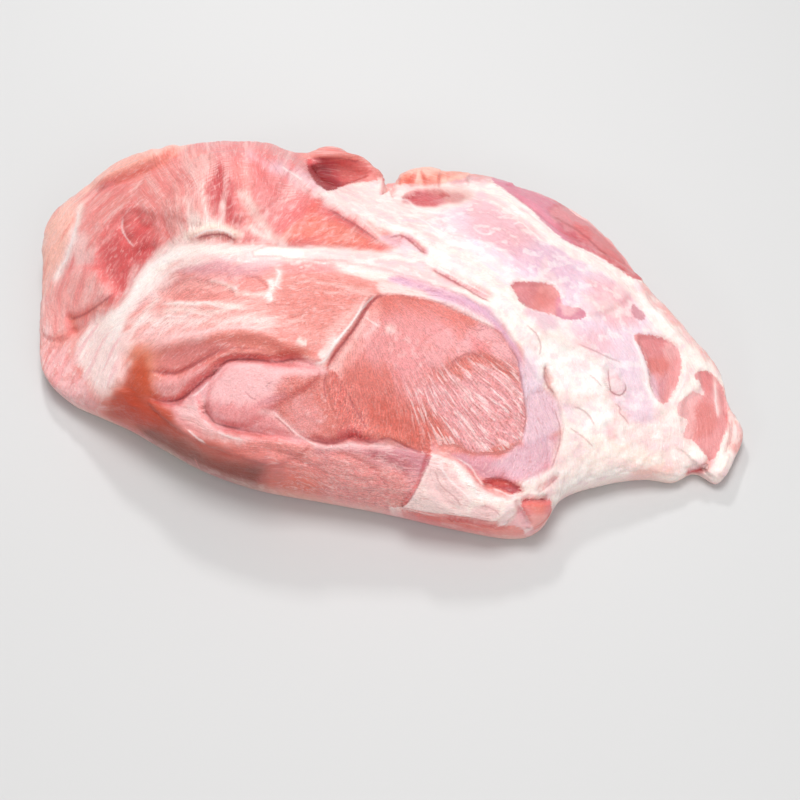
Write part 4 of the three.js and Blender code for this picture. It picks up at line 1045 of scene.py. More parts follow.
# %% Washes of the meat underneath
top_tissue = colour.copy()
INSIDE_WASHES = [
    ("pale coral", 0.95, 0.9, 0.5, "flow", [-101, 43.8, -95, 48, -88, 50.2, -80, 49.6, -73, 47.8, -68, 45.2,
        -69, 41.5, -88, 40.2, -96, 42]),
    ("coral", 0.8, 2.0, 1.0, "flow", [-94, 42, -88, 45.5, -70, 43.5, -72, 41, -84, 40.5]),
    ("coral", 0.95, 0.8, 0.4, "flow", [-67.5, 47, -64, 50.5, -60, 51, -56.5, 49.8, -55, 46.5, -60, 45, -65,
        45.3]),
    ("brown coral", 0.95, 1.0, 0.7, "flow", OVAL_MUSCLE),
    ("pale coral", 0.95, 1.6, 1.2, "flow", [-31, 12, -26, 18, -16, 35, -11, 42, -7, 38, -10, 29, -15, 21,
        -21, 14, -26, 6, -32, 6]),
    ("pinkish white", 0.45, 1.4, 1.2, "grain", [-30, 13, -24, 22, -17, 34, -13, 36, -18, 24, -25, 14]),
    ("deep coral", 0.6, 3.0, 2.0, "flow", [-12, 40, -4, 43, 18, 39, 28, 34, 20, 30, -8, 36]),
    ("rose", 0.6, 3.5, 2.0, "flow", [0, 22, 10, 30, 22, 32, 30, 28, 24, 20, 14, 12, 0, 8, -4, 14]),
    ("brown coral", 0.45, 4.0, 1.5, "flow", [-22, 18, -10, 20, -2, 8, 2, -8, -4, -18, -14, -16, -22, 0]),
    ("deep coral", 0.55, 3.0, 1.5, "flow", [-16, 2, -8, 0, 0, -12, 10, -20, 4, -21, -14, -12]),
    ("pink", 0.8, 1.8, 1.2, "flow", [20, 14, 30, 19, 40, 17, 50, 11, 49, 17, 44, 25, 37, 31, 30, 31, 24, 24]),
    ("pink", 0.9, 3.0, 2.5, "flow", [12, 8, 22, 9, 32, 13, 50, 9, 58, 2, 56, -14, 46, -24, 32, -24, 22, -18,
        16, -8, 6, 2]),
    ("pink", 0.55, 5.0, 3.0, "flow", [-16, 16, -14, 30, 0, 36, 18, 34, 24, 22, 14, 8, 8, -6, 0, 0, -4, 12]),
    ("deep coral", 0.85, 3.0, 2.0, "flow", [-12, -2, 2, 0, 20, -14, 16, -20, 4, -19, -8, -16]),
    ("burnt", 0.3, 3.0, 2.0, "flow", [-14, 0, -2, -2, 8, -10, 14, -18, 4, -19, -8, -16]),
    ("red", 0.5, 1.6, 1.2, "flow", [28, 27, 34, 24, 37, 20, 32, 19, 29, 22]),
    ("window", 0.97, 1.0, 0.3, "soft", [43, 51, 54, 51.5, 64, 51, 70, 45, 72, 38, 62, 34, 54, 35, 46, 40]),
    ("deep coral", 0.5, 2.5, 2.0, "soft", [52, 46, 60, 46, 64, 42, 60, 38, 54, 40]),
    ("side mauve", 0.95, 0.9, 0.3, "soft", [66, 43, 74, 41, 80, 37, 78, 31, 66, 31, 64, 36]),
    ("deep mauve", 0.45, 2.0, 1.0, "soft", [45, 50, 54, 50, 57, 43, 51, 37, 45, 42]),
    ("pale pink", 0.6, 1.2, 1.0, "grain", [66, 40, 72, 38, 74, 36, 68, 35]),
    ("window", 0.97, 0.9, 0.3, "soft", [93, 30, 106, 31, 116, 27, 120, 19, 119, 8, 113, -5, 104, -2, 99, 12]),
    ("side red", 0.35, 2.5, 1.5, "soft", [98, 28, 112, 25, 116, 20, 110, 18, 102, 19]),
    ("deep coral", 0.6, 2.0, 1.5, "soft", [103, 17, 109, 18, 114, 15, 112, 12, 105, 12]),
    ("pale pink", 0.5, 1.5, 1.5, "flow", [109, 22, 118, 24, 120, 8, 114, 6, 113, 14]),
    ("mauve", 0.5, 2.0, 1.5, "flow", [103, 9, 112, 9, 112, 3, 109, -1, 105, 2]),
    ("pale lilac", 0.6, 1.5, 1.5, "flow", [101, 10, 106, 11, 108, 3, 106, -3, 101, 2]),
    ("window", 0.97, 1.0, 0.4, "soft", [112, 16, 124, 17, 134, 12, 140, -6, 138, -20, 130, -30, 116, -22,
        110, -6]),
    ("deep coral", 0.45, 3.0, 2.0, "soft", [122, 0, 130, -2, 131, -12, 122, -16, 118, -12]),
    ("rose", 0.6, 2.0, 1.0, "soft", [123, 12, 130, 11, 131, 5, 126, 3]),
    ("pale pink", 0.6, 1.5, 2.0, "flow", [113, 3, 123, 4, 121, -4, 120, -16, 113, -12]),
    ("mauve", 0.9, 1.0, 0.3, "soft", [92, 43, 99, 41, 105, 37, 98, 30, 93, 33]),
    ("side mauve", 0.97, 1.2, 0.3, "flow", [34, 96, 38, 86, 54, 74, 72, 61, 80, 58, 84, 78, 60, 96, 44, 102]),
    ("side red", 0.8, 2.0, 1.2, "flow", [62, 80, 70, 66, 90, 50, 98, 46, 108, 46, 104, 58, 90, 76, 74, 86]),
    ("deep red", 0.6, 1.6, 1.5, "flow", [72, 71, 80, 66, 86, 59, 95, 52, 98, 54, 88, 66, 78, 72]),
    ("pale pink", 0.3, 1.0, 1.5, "grain", [62, 78, 72, 68, 86, 58, 96, 52, 90, 66, 70, 80]),
    ("red", 0.5, 1.2, 1.0, "soft", [72, 72, 77, 70.5, 79, 66.5, 74, 67]),
    ("deep red", 0.95, 1.0, 0.3, "soft", [31, -33, 38, -30, 46, -30, 53, -38, 47, -42, 38, -39]),
    ("orange", 0.4, 0.8, 0.6, "soft", [38, -34, 43, -34, 46, -35.4, 42, -35.6]),
    ("deep mauve", 0.7, 0.8, 0.4, "soft", [41, -36.5, 46, -36.6, 51, -38.4, 48, -39.6, 43, -38.4]),
    ("coral", 0.95, 0.9, 0.3, "soft", [-6, -42, 10, -45, 24, -47, 36, -49, 46, -50, 54, -49, 56, -62, -6,
        -60]),
    ("rose", 0.95, 0.9, 0.3, "soft", [47, -40, 56, -39, 66, -39, 66, -48, 63, -56, 52, -56]),
    ("orange", 0.5, 1.5, 1.0, "soft", [51, -43, 60, -43, 61, -46, 58, -48, 54, -47]),
    ("pale coral", 0.8, 1.2, 1.0, "soft", [52, -49, 58, -48, 62, -49, 60, -56, 54, -55]),
    ("red", 0.97, 1.0, 0.3, "soft", [-42, 104, -40, 90, -30, 84, -20, 87, -8, 89, -4, 95, -12, 103, -28,
        105]),
    # dark maroon laid over the lower left of the hollow
    ("dark maroon", 0.85, 1.1, 0.8, "soft", [-39, 97, -37, 91, -32.5, 85, -28, 84, -25, 88, -27.5, 92, -32, 96.4]),
    ("deep mauve", 0.45, 2.0, 1.0, "soft", [-34, 101, -32, 93, -24, 88, -8, 91, -14, 99, -24, 101]),
    ("pale coral", 0.4, 1.2, 1.2, "soft", [-24, 91, -18, 92, -11, 92, -15, 95, -22, 95]),
    ("coral", 0.7, 2.0, 1.5, "soft", [-26, 98, -16, 99, -8, 92, -14, 90, -22, 92]),
    ("coral", 0.5, 1.2, 1.0, "soft", [-17, 99, -8, 91, -12, 91, -18, 95]),
    ("salmon", 0.95, 1.1, 0.3, "soft", [-4, 86, 6, 86.5, 20, 86.5, 34, 91, 30, 100, -4, 100]),
    ("orange", 0.8, 1.1, 0.5, "soft", [1.4, 94.4, 5, 94, 5.5, 89.4, 2, 89]),
    ("orange", 0.7, 1.4, 0.8, "soft", [9, 90, 27, 93.4, 20, 94.6, 11, 93.4]),
]
for row in INSIDE_WASHES:
    wash(*row)
# on the cut fibres: dark coral lines in the furrows, partly painted shade, and pale pink streaks that are
# painted glints on the wet fibre tops
strands("deep coral", 0.45, cut_fibres, "flow", 0.05)
streaks("pale pink", 0.6, cut_fibres, "flow", 0.12, 0.4)
streaks("deep coral", 0.3, oval_mask * (1 - cut_fibres), "soft", 0.1, 0.5)
# pale flecks: painted highlights on the wet upper part of the oval
oval_top = oval_mask * region(paint_p, paint_q, [-12, 28, 4, 28, 14, 20, 6, 10, -6, 16], 4.0)
streaks("pale pink", 0.5, oval_top, "grain", 0.2, 0.5)
INSIDE_LINES = [
    ("deep coral", 0.5, 1.3, [17, 12, 22, 16.5, 28, 18.4, 34, 18, 40, 15]),
    ("pale pink", 0.7, 1.2, [-16, 26, -12, 29, -8, 33]),
    ("pinkish white", 0.8, 1.6, [-6, 28.5, -4, 29.5, -2, 28]),
    ("pinkish white", 0.6, 1.2, [129.6, 12, 130.4, 2, 131.6, -8]),
    ("pale pink", 0.5, 1.2, [116, 20, 118, 10, 120, 4, 118, -2]),
]
for row in INSIDE_LINES:
    brush(*row)
meat_below, colour = colour, top_tissue
print(len(INSIDE_WASHES), "washes under the openings")

# %% Rims of the openings
OPENINGS = [
    [-29.5, 13, -28, 17, -24, 23, -20, 28, -16, 34, -13, 38.5, -9, 42.3, -4, 43.4, 4, 42.6, 12, 41.2, 18,
        39.4, 23, 36.6, 29, 34, 35, 31, 40, 28, 44, 23, 48, 16.5, 50, 9, 51, 2, 51.4, -6, 50.6, -13, 49,
        -17.6, 44, -18.8, 39, -19.6, 35, -21.4, 30, -21.4, 25, -19.2, 19, -17.6, 14, -17, 12.4, -19, 13,
        -21.6, 9, -21.6, 4, -20, 0, -18, -5, -15.6, -9, -17.4, -12, -15.4, -14, -11, -18, -4, -21, 1, -24, 7,
        -27, 12],
    [-96, 43, -92.6, 46.8, -88, 50.1, -80, 49.6, -73, 47.8, -68.6, 45, -72, 42.4, -79, 41.2, -88, 41.2, -96,
        41.6],
    [-67.5, 46.6, -64, 50.3, -60, 51, -56.4, 49.8, -55, 46.4, -60, 45.2, -65, 45],
    [46, 48.4, 52, 48.8, 58, 48.6, 63, 47.8, 66, 44.4, 67, 40.4, 70, 38.4, 75, 37.6, 77, 35.5, 75, 33.6, 69,
        33.2, 62, 35.6, 56, 37, 51, 39.4, 48, 43],
    [96.6, 26.8, 103, 26.8, 110, 24.6, 115, 20.4, 116, 14, 114.8, 8, 113, 3.5, 109.6, -1.8, 106, 0.4, 103.4,
        6, 102.8, 12, 100.6, 19],
    [117, 0.4, 121.6, 3.4, 125.6, 1.6, 124, 6, 121.4, 10.6, 126, 12, 130, 9.4, 133.4, 4, 135, -4, 134.6, -12,
        132, -20, 128.6, -25, 125.4, -21.6, 121, -17, 116.8, -15, 118.6, -9.4, 115, -6.6, 114.6, -2.6],
    [95.8, 39.6, 98.6, 38, 101.2, 35.6, 100.4, 33.2, 97, 34.4],
    [38, 91.6, 43, 87.4, 48, 83.4, 53, 79.8, 57.6, 75.6, 62, 71, 67, 66.8, 72, 64, 78, 61.6, 83, 58.8, 88,
        55.6, 93, 52.4, 98, 50, 108, 52, 96, 76, 66, 98, 44, 100],
    [34, -33.6, 38, -32.8, 42.6, -33.2, 46, -35, 50.4, -37.6, 46.6, -39.2, 42.6, -37.4, 38.4, -36],
    [50, -42.3, 56, -41.8, 62, -41.6, 63, -46, 61, -52, 57.6, -56, 54, -51.6],
    [-38, 99.6, -36.6, 93, -33, 88.4, -28.6, 86.6, -24, 88.6, -19, 90.4, -13, 90.6, -9, 91.6, -12, 96, -17,
        99.4, -26, 99, -32, 100],
    [-2, 90.2, 3, 89.6, 9, 89.2, 16, 89.4, 22, 90.8, 28, 92.4, 30, 98, -2, 98],
    [12.6, -22.6, 10, -29, 8, -35, 4.4, -41, 0.6, -45, -6, -42, -2, -30, 6, -23],
    [2, -46.4, 10, -47.6, 18, -49.4, 26, -50.8, 34, -52.2, 42, -53, 47, -52.4, 52, -56, 50, -62, 0, -58, -4,
        -50],
]
# depths are only kept within this many millimetres of a rim
OPENING_REACH = 4.0
opening = np.full(half_p.shape, -OPENING_REACH)
for points in OPENINGS:
    depth = depth_inside(half_p, half_q, points, OPENING_REACH)
    opening = np.maximum(opening, np.clip(depth, -OPENING_REACH, OPENING_REACH))
print(len(OPENINGS), "openings cover", round(float((opening > 0).mean()) * 100), "per cent of the points")

# %% [markdown]
# ## The fat field and the lilac ring
# A thin silverskin rings the oval muscle in lilac, because it lies over dark meat. Outside it the fat is
# thick and cream-white, and beyond the fat the right lobe shines pale pink through its own thin skin.

# %% Washes of the right side
RIGHT_WASHES = [
    ("cream", 0.95, 2.0, 1.2, "flow", FAT_FIELD),
    ("cream", 0.9, 2.0, 1.0, "flow", [44, 30, 52, 20, 56, 8, 64, 2, 68, -10, 66, -22, 60, -30, 52, -36, 60,
        -46, 150, -44, 150, 10, 110, 0, 90, 10, 70, 24, 50, 44]),
    ("pink", 0.6, 4.0, 2.0, "flow", [22, 80, 40, 84, 60, 70, 98, 46, 96, 40, 70, 48, 30, 70]),
    ("pale lilac", 0.9, 4.0, 2.0, "flow", [22, 80, 40, 84, 60, 70, 98, 46, 108, 30, 98, 8, 64, 34, 48, 50,
        30, 62, 14, 74]),
    ("pale lilac", 0.7, 3.0, 2.0, "flow", [48, 56, 64, 58, 78, 52, 90, 40, 88, 24, 100, 10, 88, 12, 74, 30,
        60, 46]),
    ("lilac", 0.55, 3.0, 2.5, "flow", [38, 72, 56, 66, 72, 54, 70, 46, 54, 54, 40, 64]),
    ("pink", 0.7, 3.0, 2.0, "flow", [78, 50, 94, 45, 98, 34, 90, 30, 80, 38]),
    ("lilac", 1.0, 1.4, 0.8, "flow", [-4, 51, 6, 50, 18, 46.5, 30, 41.5, 38, 37, 45, 28, 50, 18, 52.5, 4, 50,
        2, 48, 16, 43, 26, 37, 31, 16, 41.5, -2, 48]),
    ("pinkish white", 0.8, 1.2, 0.8, "flow", [-8, 49, 2, 47, 22, 40, 32, 35.5, 38, 31, 36, 30, 28, 34.5, 14,
        41, -6, 44.5]),
    ("lilac", 0.6, 1.6, 1.0, "flow", [-4, 50.5, 8, 49.6, 20, 45.6, 30, 40.6, 20, 42, 6, 46]),
    ("pale lilac", 0.9, 1.4, 0.8, "soft", [51.5, 4, 52, -6, 50.5, -17, 56, -18, 66, -14, 67.5, -10, 64, 0,
        56, 8]),
    ("pale lilac", 0.85, 1.4, 1.0, "soft", [50, 22, 56, 20, 60, 12, 59, 4, 52, 4]),
    ("lilac", 0.6, 1.6, 1.0, "soft", [49, -19, 56, -18, 66, -15, 65, -22, 61, -30, 52, -33, 38, -33, 20, -23,
        42, -23]),
    ("pale lilac", 0.55, 2.0, 1.6, "soft", [40, -24, 60, -18, 63, -24, 54, -31, 42, -30]),
    ("lilac", 0.5, 1.3, 1.2, "flow", [-8, 68, -2, 68, 4, 65.5, 9, 61.5, 2, 62, -4, 65]),
    ("coral", 0.75, 1.0, 0.6, "soft", [134, 6, 138, -4, 139, -10, 144, -15, 141, -22, 137, -22, 134, -14]),
    ("pinkish white", 0.6, 3.0, 2.0, "soft", [70, -22, 90, -20, 112, -24, 118, -30, 96, -33, 70, -40, 56,
        -42, 60, -32]),
    ("pale pink", 0.75, 3.0, 2.4, "flow", [-34, 86, -10, 82, 20, 74, 30, 62, 16, 64, -4, 73, -26, 79]),
    ("pale pink", 0.4, 3.0, 3.0, "soft", [66, 2, 86, 6, 108, -2, 114, -22, 96, -26, 76, -12]),
    ("cream", 0.9, 1.0, 0.6, "soft", [34, 92, 50, 79.5, 57, 74.5, 63, 69, 70, 65.5, 88, 55.5, 95, 52, 101,
        44, 116, 27, 131, 11, 129, 8, 114, 22, 104, 32, 92, 47, 74, 58, 54, 68, 44, 76, 36, 84]),
    ("pale coral", 0.9, 1.5, 1.0, "flow", [100, 48, 103, 42, 118, 26, 130, 12, 136, 6, 140, 12, 124, 36, 108,
        52]),
]
for row in RIGHT_WASHES:
    wash(*row)
fat_mask = np.clip(inside(FAT_FIELD, 2.0) - oval_mask, 0, 1)
rear_fat = fat_mask * inside([-36, 90, 10, 80, 34, 66, 46, 46, 56, 18, 44, 30, 20, 42, -10, 58, -30, 76], 5.0)
strands("pink", 0.35, rear_fat, "flow", 0.05)
streaks("pale lilac", 0.5, rear_fat, "flow", 0.2, 0.5)
streaks("white", 0.6, rear_fat, "flow", -0.2, -0.45)
streaks("pinkish white", 0.5, fat_mask, "soft", 0.15, 0.45)
streaks("pink", 0.25, fat_mask * (1 - rear_fat), "broad", 0.15, 0.6)
print(len(RIGHT_WASHES), "washes on the right side")

# %% Lumps of fat, and the windows in it
FAT_WASHES = [
    ("pinkish white", 0.7, 2.5, 2.0, "soft", [92, -5, 112, -8, 118, -24, 104, -30, 92, -20]),
    ("pale lilac", 0.85, 2.0, 2.0, "soft", [86, 12, 94, 16, 102, 6, 105, -6, 98, -10, 90, -2]),
    ("pale lilac", 0.7, 1.6, 1.5, "soft", [68, -2, 74, -4, 80, -10, 78, -14, 70, -10]),
    ("white", 0.9, 2.0, 2.0, "soft", [60, 26, 72, 22, 86, 16, 86, 4, 76, 2, 64, 8]),
    ("white", 0.9, 2.0, 2.0, "soft", [74, -2, 84, 0, 88, -6, 84, -14, 74, -14]),
    ("warm white", 0.6, 2.5, 2.0, "soft", [78, -14, 96, -18, 112, -26, 104, -31, 84, -30, 74, -24]),
    ("pale pink", 0.6, 1.5, 1.5, "soft", [84, -24, 100, -27, 112, -29, 104, -32, 88, -30]),
    ("pale pink", 0.5, 1.5, 1.5, "soft", [66, -18, 74, -16, 78, -24, 70, -30, 64, -26]),
    ("pink", 0.5, 1.2, 1.2, "soft", [86, 10, 91, 9, 93, 3, 89, 2, 86, 5]),
    ("pink", 0.7, 3.5, 2.0, "flow", [28, 84, 42, 82, 54, 72, 52, 62, 40, 64, 30, 72]),
    ("pink", 0.5, 2.5, 2.0, "flow", [-18, 58, 0, 57, 14, 54, 28, 47, 20, 46, 4, 51, -10, 54]),
    ("lilac", 0.5, 1.2, 0.8, "soft", [52, 37, 62, 36, 64, 30, 58, 29]),
    ("pink", 0.5, 3.0, 2.0, "flow", [74, 28, 84, 28, 88, 22, 80, 18, 72, 22]),
    ("white", 0.7, 2.5, 1.5, "soft", [54, 26, 62, 18, 66, 8, 62, 10, 56, 16]),
    ("cream", 0.6, 4.0, 2.0, "soft", [66, -6, 80, -12, 90, -24, 84, -36, 68, -36, 66, -22]),
    ("pale pink", 0.7, 2.0, 1.5, "flow", [-14, 57, 2, 55, 16, 51, 14, 48, -2, 52, -14, 54]),
    ("mauve", 0.3, 3.0, 2.0, "flow", [24, 80, 40, 78, 58, 66, 50, 60, 30, 68]),
]
for row in FAT_WASHES:
    wash(*row)
wash("pale pink", 0.7, 1.6, 1.6, "flow", [-44, 62.4, -24, 62, -8, 60, 2, 57.4, -8, 56, -34, 58])
print(len(FAT_WASHES), "washes on the fat and in its windows")

# %% Washes of the front flap and the rear centre
EDGE_WASHES = [
    ("pinkish white", 0.97, 1.0, 0.5, "grain", [10, -21, 18, -22, 25, -25, 30, -30, 35, -36, 45, -40, 51,
        -39, 50, -44, 46, -50, 38, -52, 22, -49.5, 0, -46.5, -4, -45, 0, -39]),
    ("cream", 0.8, 1.4, 1.2, "soft", [28, -44, 34, -40, 44, -42, 50, -40, 49, -46, 43, -50, 34, -50, 28,
        -48]),
    ("pale pink", 0.6, 1.4, 1.2, "flow", [11, -25, 20, -28, 28, -37, 22, -44, 12, -40]),
    ("white", 0.9, 0.9, 0.6, "soft", [22, -25, 29, -32, 35, -39, 45, -41, 34, -42, 25, -33]),
    ("pink", 0.5, 1.2, 1.0, "soft", [29, -46, 36, -43, 41, -47, 36, -50, 30, -49]),
    ("rose", 0.9, 0.9, 0.5, "soft", [4, -47, 22, -50, 36, -52.5, 46, -53, 52, -58, 20, -56, 0, -52]),
    ("pink", 0.8, 1.0, 0.5, "soft", [49, -45, 52, -47, 55, -52, 56, -58, 44, -58]),
    ("pinkish white", 0.9, 1.8, 1.0, "soft", [-30, 85, -24, 88, -14, 90.6, -4, 92, -1, 90, 20, 89, 36, 91,
        30, 84, 14, 78, -10, 78, -28, 80]),
    ("coral", 0.85, 1.0, 0.5, "soft", [-41, 100, -33, 101, -17, 100, -8, 91.6, -4, 92, -12, 104, -36, 106]),
    ("salmon", 0.7, 1.0, 0.5, "soft", [-30, 101, -20, 101, -14, 98, -17, 97, -25, 99]),
    ("side red", 0.95, 1.2, 0.8, "soft", [1, 83, 5, 86.5, 12, 87.4, 20, 86.6, 27, 84, 20, 81, 13, 80, 7, 80]),
    ("grey pink", 0.6, 1.6, 1.0, "soft", [10, 87, 20, 88, 30, 86, 27, 82, 18, 81, 16, 84]),
    ("deep red", 0.6, 1.2, 0.6, "soft", [4, 82.6, 13, 82.4, 15, 80.8, 9, 80]),
    ("mauve", 0.6, 1.5, 1.0, "flow", [20, 91, 30, 92.6, 38, 92.4, 36, 90, 24, 89.6]),
]
for row in EDGE_WASHES:
    wash(*row)
print(len(EDGE_WASHES), "washes on the edges")

# %% Lines of the right side and the edges
RIGHT_LINES = [
    ("side red", 0.75, 1.1, [12, 55.5, 20, 50.5, 28, 46.5, 38, 42]),
    ("rose", 0.5, 1.2, [26, 49.5, 33, 46, 40, 42.5]),
    ("side red", 0.8, 1.2, [-2, 68.2, 3, 66.8, 7, 64.4, 12, 60.2]),
    ("mauve", 0.5, 0.8, [-2, 61, 6, 58.5, 12, 55.5]),
    # grey-pink line in the fat pit, partly painted shade of its step
    ("grey pink", 0.8, 1.1, [60, 14, 60.5, 10, 62.5, 5, 65, 1]),
    ("rose", 0.5, 0.9, [56, -38, 61, -34.6, 66, -31]),
    ("white", 0.6, 3.0, [62, -38, 74, -34, 86, -31, 98, -30]),
    ("salmon", 0.45, 2.4, [94, -32, 104, -30, 114, -28.5]),
    ("deep red", 0.9, 1.6, [118, -30.6, 121.6, -30, 125.4, -28.4]),
    ("cream", 0.9, 1.8, [135.4, -12, 134.6, -18, 132.6, -24, 129.5, -31]),
    ("cream", 0.9, 1.6, [37, 91, 39, 87, 43, 84, 50, 79]),
    ("white", 0.7, 1.1, [96, 28.5, 99.6, 18, 101, 8, 104.6, 0, 109.5, -4]),
    ("pinkish white", 0.7, 1.2, [118.5, 18, 117.4, 8, 115, 2, 113.4, -3]),
    ("deep mauve", 0.5, 0.9, [47, -41, 49.6, -45, 52, -49]),
    # painted glint at the junction of the seams
    ("white", 0.8, 1.1, [-33.5, 20, -31, 17, -28, 18.5]),
]
for row in RIGHT_LINES:
    brush(*row)
print(len(RIGHT_LINES), "lines on the right side")

# %% [markdown]
# ## Lines finer than the mesh
# The ends of membranes, the dark red of slits and creases, partly painted shade, and a few painted glints are
# only half a millimetre wide. Each point stores how far it lies beside the nearest fine line, in half widths
# and with a sign for the side. That number runs straight through zero between two points, so the material
# can draw the line as fine as it really is.

# %% Fine lines
# dark fine lines along seams, slits and creases: partly the meat's own dark red, partly painted shade in the
# creases
DARK_LINES = [
    (0.6, 0.5, [-29.8, 12.6, -28, 17, -20, 28, -13, 38.5, -9, 42.5, -4, 43.8]),
    (0.35, 0.4, [-4, 43.8, 12, 41.6, 18, 39.8, 23, 37, 29, 34.4, 40.4, 28.4, 44.4, 23.2]),
    (0.35, 0.35, [44.4, 23.2, 48.3, 16.7, 50.3, 9.2, 51.3, 2, 51.7, -6, 50.9, -13, 49, -18]),
    (0.6, 0.45, [-40, -15, -33, -17.5, -27, -17.8, -18, -14.4]),
    (0.6, 0.45, [-16, -15.6, -11.6, -18, -4, -16.2, 6, -21, 12, -22.4]),
    (0.5, 0.5, [-21, 2, -19, -3, -16, -8, -13, -13]),
    (0.4, 0.45, [20.6, 15, 25, 18, 29.6, 19.2, 34, 17.4]),
    (0.35, 0.4, [38, 14.6, 43, 11.8, 47, 10.4]),
    (0.4, 0.35, [26, 31, 31, 29, 36, 29.4]),
    (0.45, 0.4, [63, -3, 65.4, -9, 66.4, -15, 65, -22, 62, -30]),
    (0.45, 0.4, [12.6, -23, 8, -35, 4.4, -41, 0.6, -45]),
    (0.5, 0.6, [-105, 12.2, -95, 11, -90, 12, -76, 19.4, -72, 21]),
    (0.35, 0.5, [-71, 21.3, -66, 21.6, -60, 21, -54, 20.4]),
    (0.6, 0.5, [-105, 2, -100, 0, -94, -0.6, -89, 1, -84, 5, -80, 9, -76, 11, -73, 14.5, -70, 16.3, -64,
        16.9, -58, 16.6, -52, 15.6, -40, 16.8, -36, 15.3]),
    (0.5, 0.4, [-80, -1, -80.2, -4, -78, -8, -74, -10.6, -54, -14.6]),
    (0.35, 0.35, [-46, 0.5, -51, -0.5, -56, -2]),
    (0.4, 0.35, [-56, 5, -54, 6.6, -52.6, 7.8]),
    (0.35, 0.4, [-64, 3.8, -61.6, 1.4, -59, 0]),
    # painted shadow under the white ridge of the membrane
    (0.45, 0.4, [-52, -6.8, -47, -11.2, -43, -15]),
    (0.55, 0.4, [-30.5, 11.4, -31.4, 8, -31, 4, -30.4, 0]),
    # painted shadow in the slit under the white lip, over its own brown-red
    (0.75, 0.45, [-84.6, 66.6, -81, 68, -76, 68.8, -72, 68.2, -67.6, 66]),
    (0.5, 0.5, [-137, 33.5, -131, 35, -126, 38, -117, 45]),
    (0.6, 0.45, [-5, 67.4, 0, 68, 4, 66, 8, 62.4, 11.4, 60.4]),
    (0.55, 0.45, [-30, 79, -24, 76, -12, 68, -8, 66]),
    (0.6, 0.45, [12, 54.4, 18, 51.4, 30, 44.4, 38, 40.4]),
    (0.5, 0.45, [60, 14.6, 59.6, 10, 61, 6, 64, 2]),
    (0.55, 0.35, [86, 13.6, 87, 4.6, 89, 2.4, 91.6, 2.2, 93.4, 4.8, 92.6, 8]),
    (0.4, 0.35, [88.6, -1.4, 91, -3, 90.6, -5.4, 92.8, -7.6, 94.6, -10.4]),
    (0.35, 0.35, [78, 10.6, 81, 8.4, 83.4, 5.4]),
    (0.4, 0.4, [71.6, -2.6, 75.6, -4.8, 78.6, -8, 80, -11.4]),
    (0.4, 0.35, [97, 26.8, 100.6, 19, 102.6, 12, 103.4, 6, 106, 0.6]),
    (0.5, 0.4, [34, -33.4, 39, -32.6, 43.6, -33.8, 50, -37.4]),
    (0.4, 0.4, [50, -42.2, 56, -41.8, 61.6, -41.6]),
    (0.4, 0.4, [136.6, -8, 137, -14, 136, -19.6]),
    (0.35, 0.4, [57, -39.2, 61, -36, 66, -31.6]),
    (0.5, 0.5, [-37, 100.6, -30, 100, -22, 99.8, -16, 98.4]),
    (0.45, 0.5, [62, 77, 76, 68, 82, 62.6, 89, 57]),
    (0.35, 0.4, [14, -29, 17, -36, 23, -41, 25, -45]),
    (0.3, 0.35, [33, -44, 38, -45.4, 42, -48.6]),
    (0.35, 0.4, [73, 23.4, 79, 20.8, 86, 17.4, 92, 15]),
    (0.4, 0.4, [52, 31, 56, 27, 58, 22, 57, 18]),
    (0.35, 0.4, [70, -12, 76, -16, 80, -20]),
]
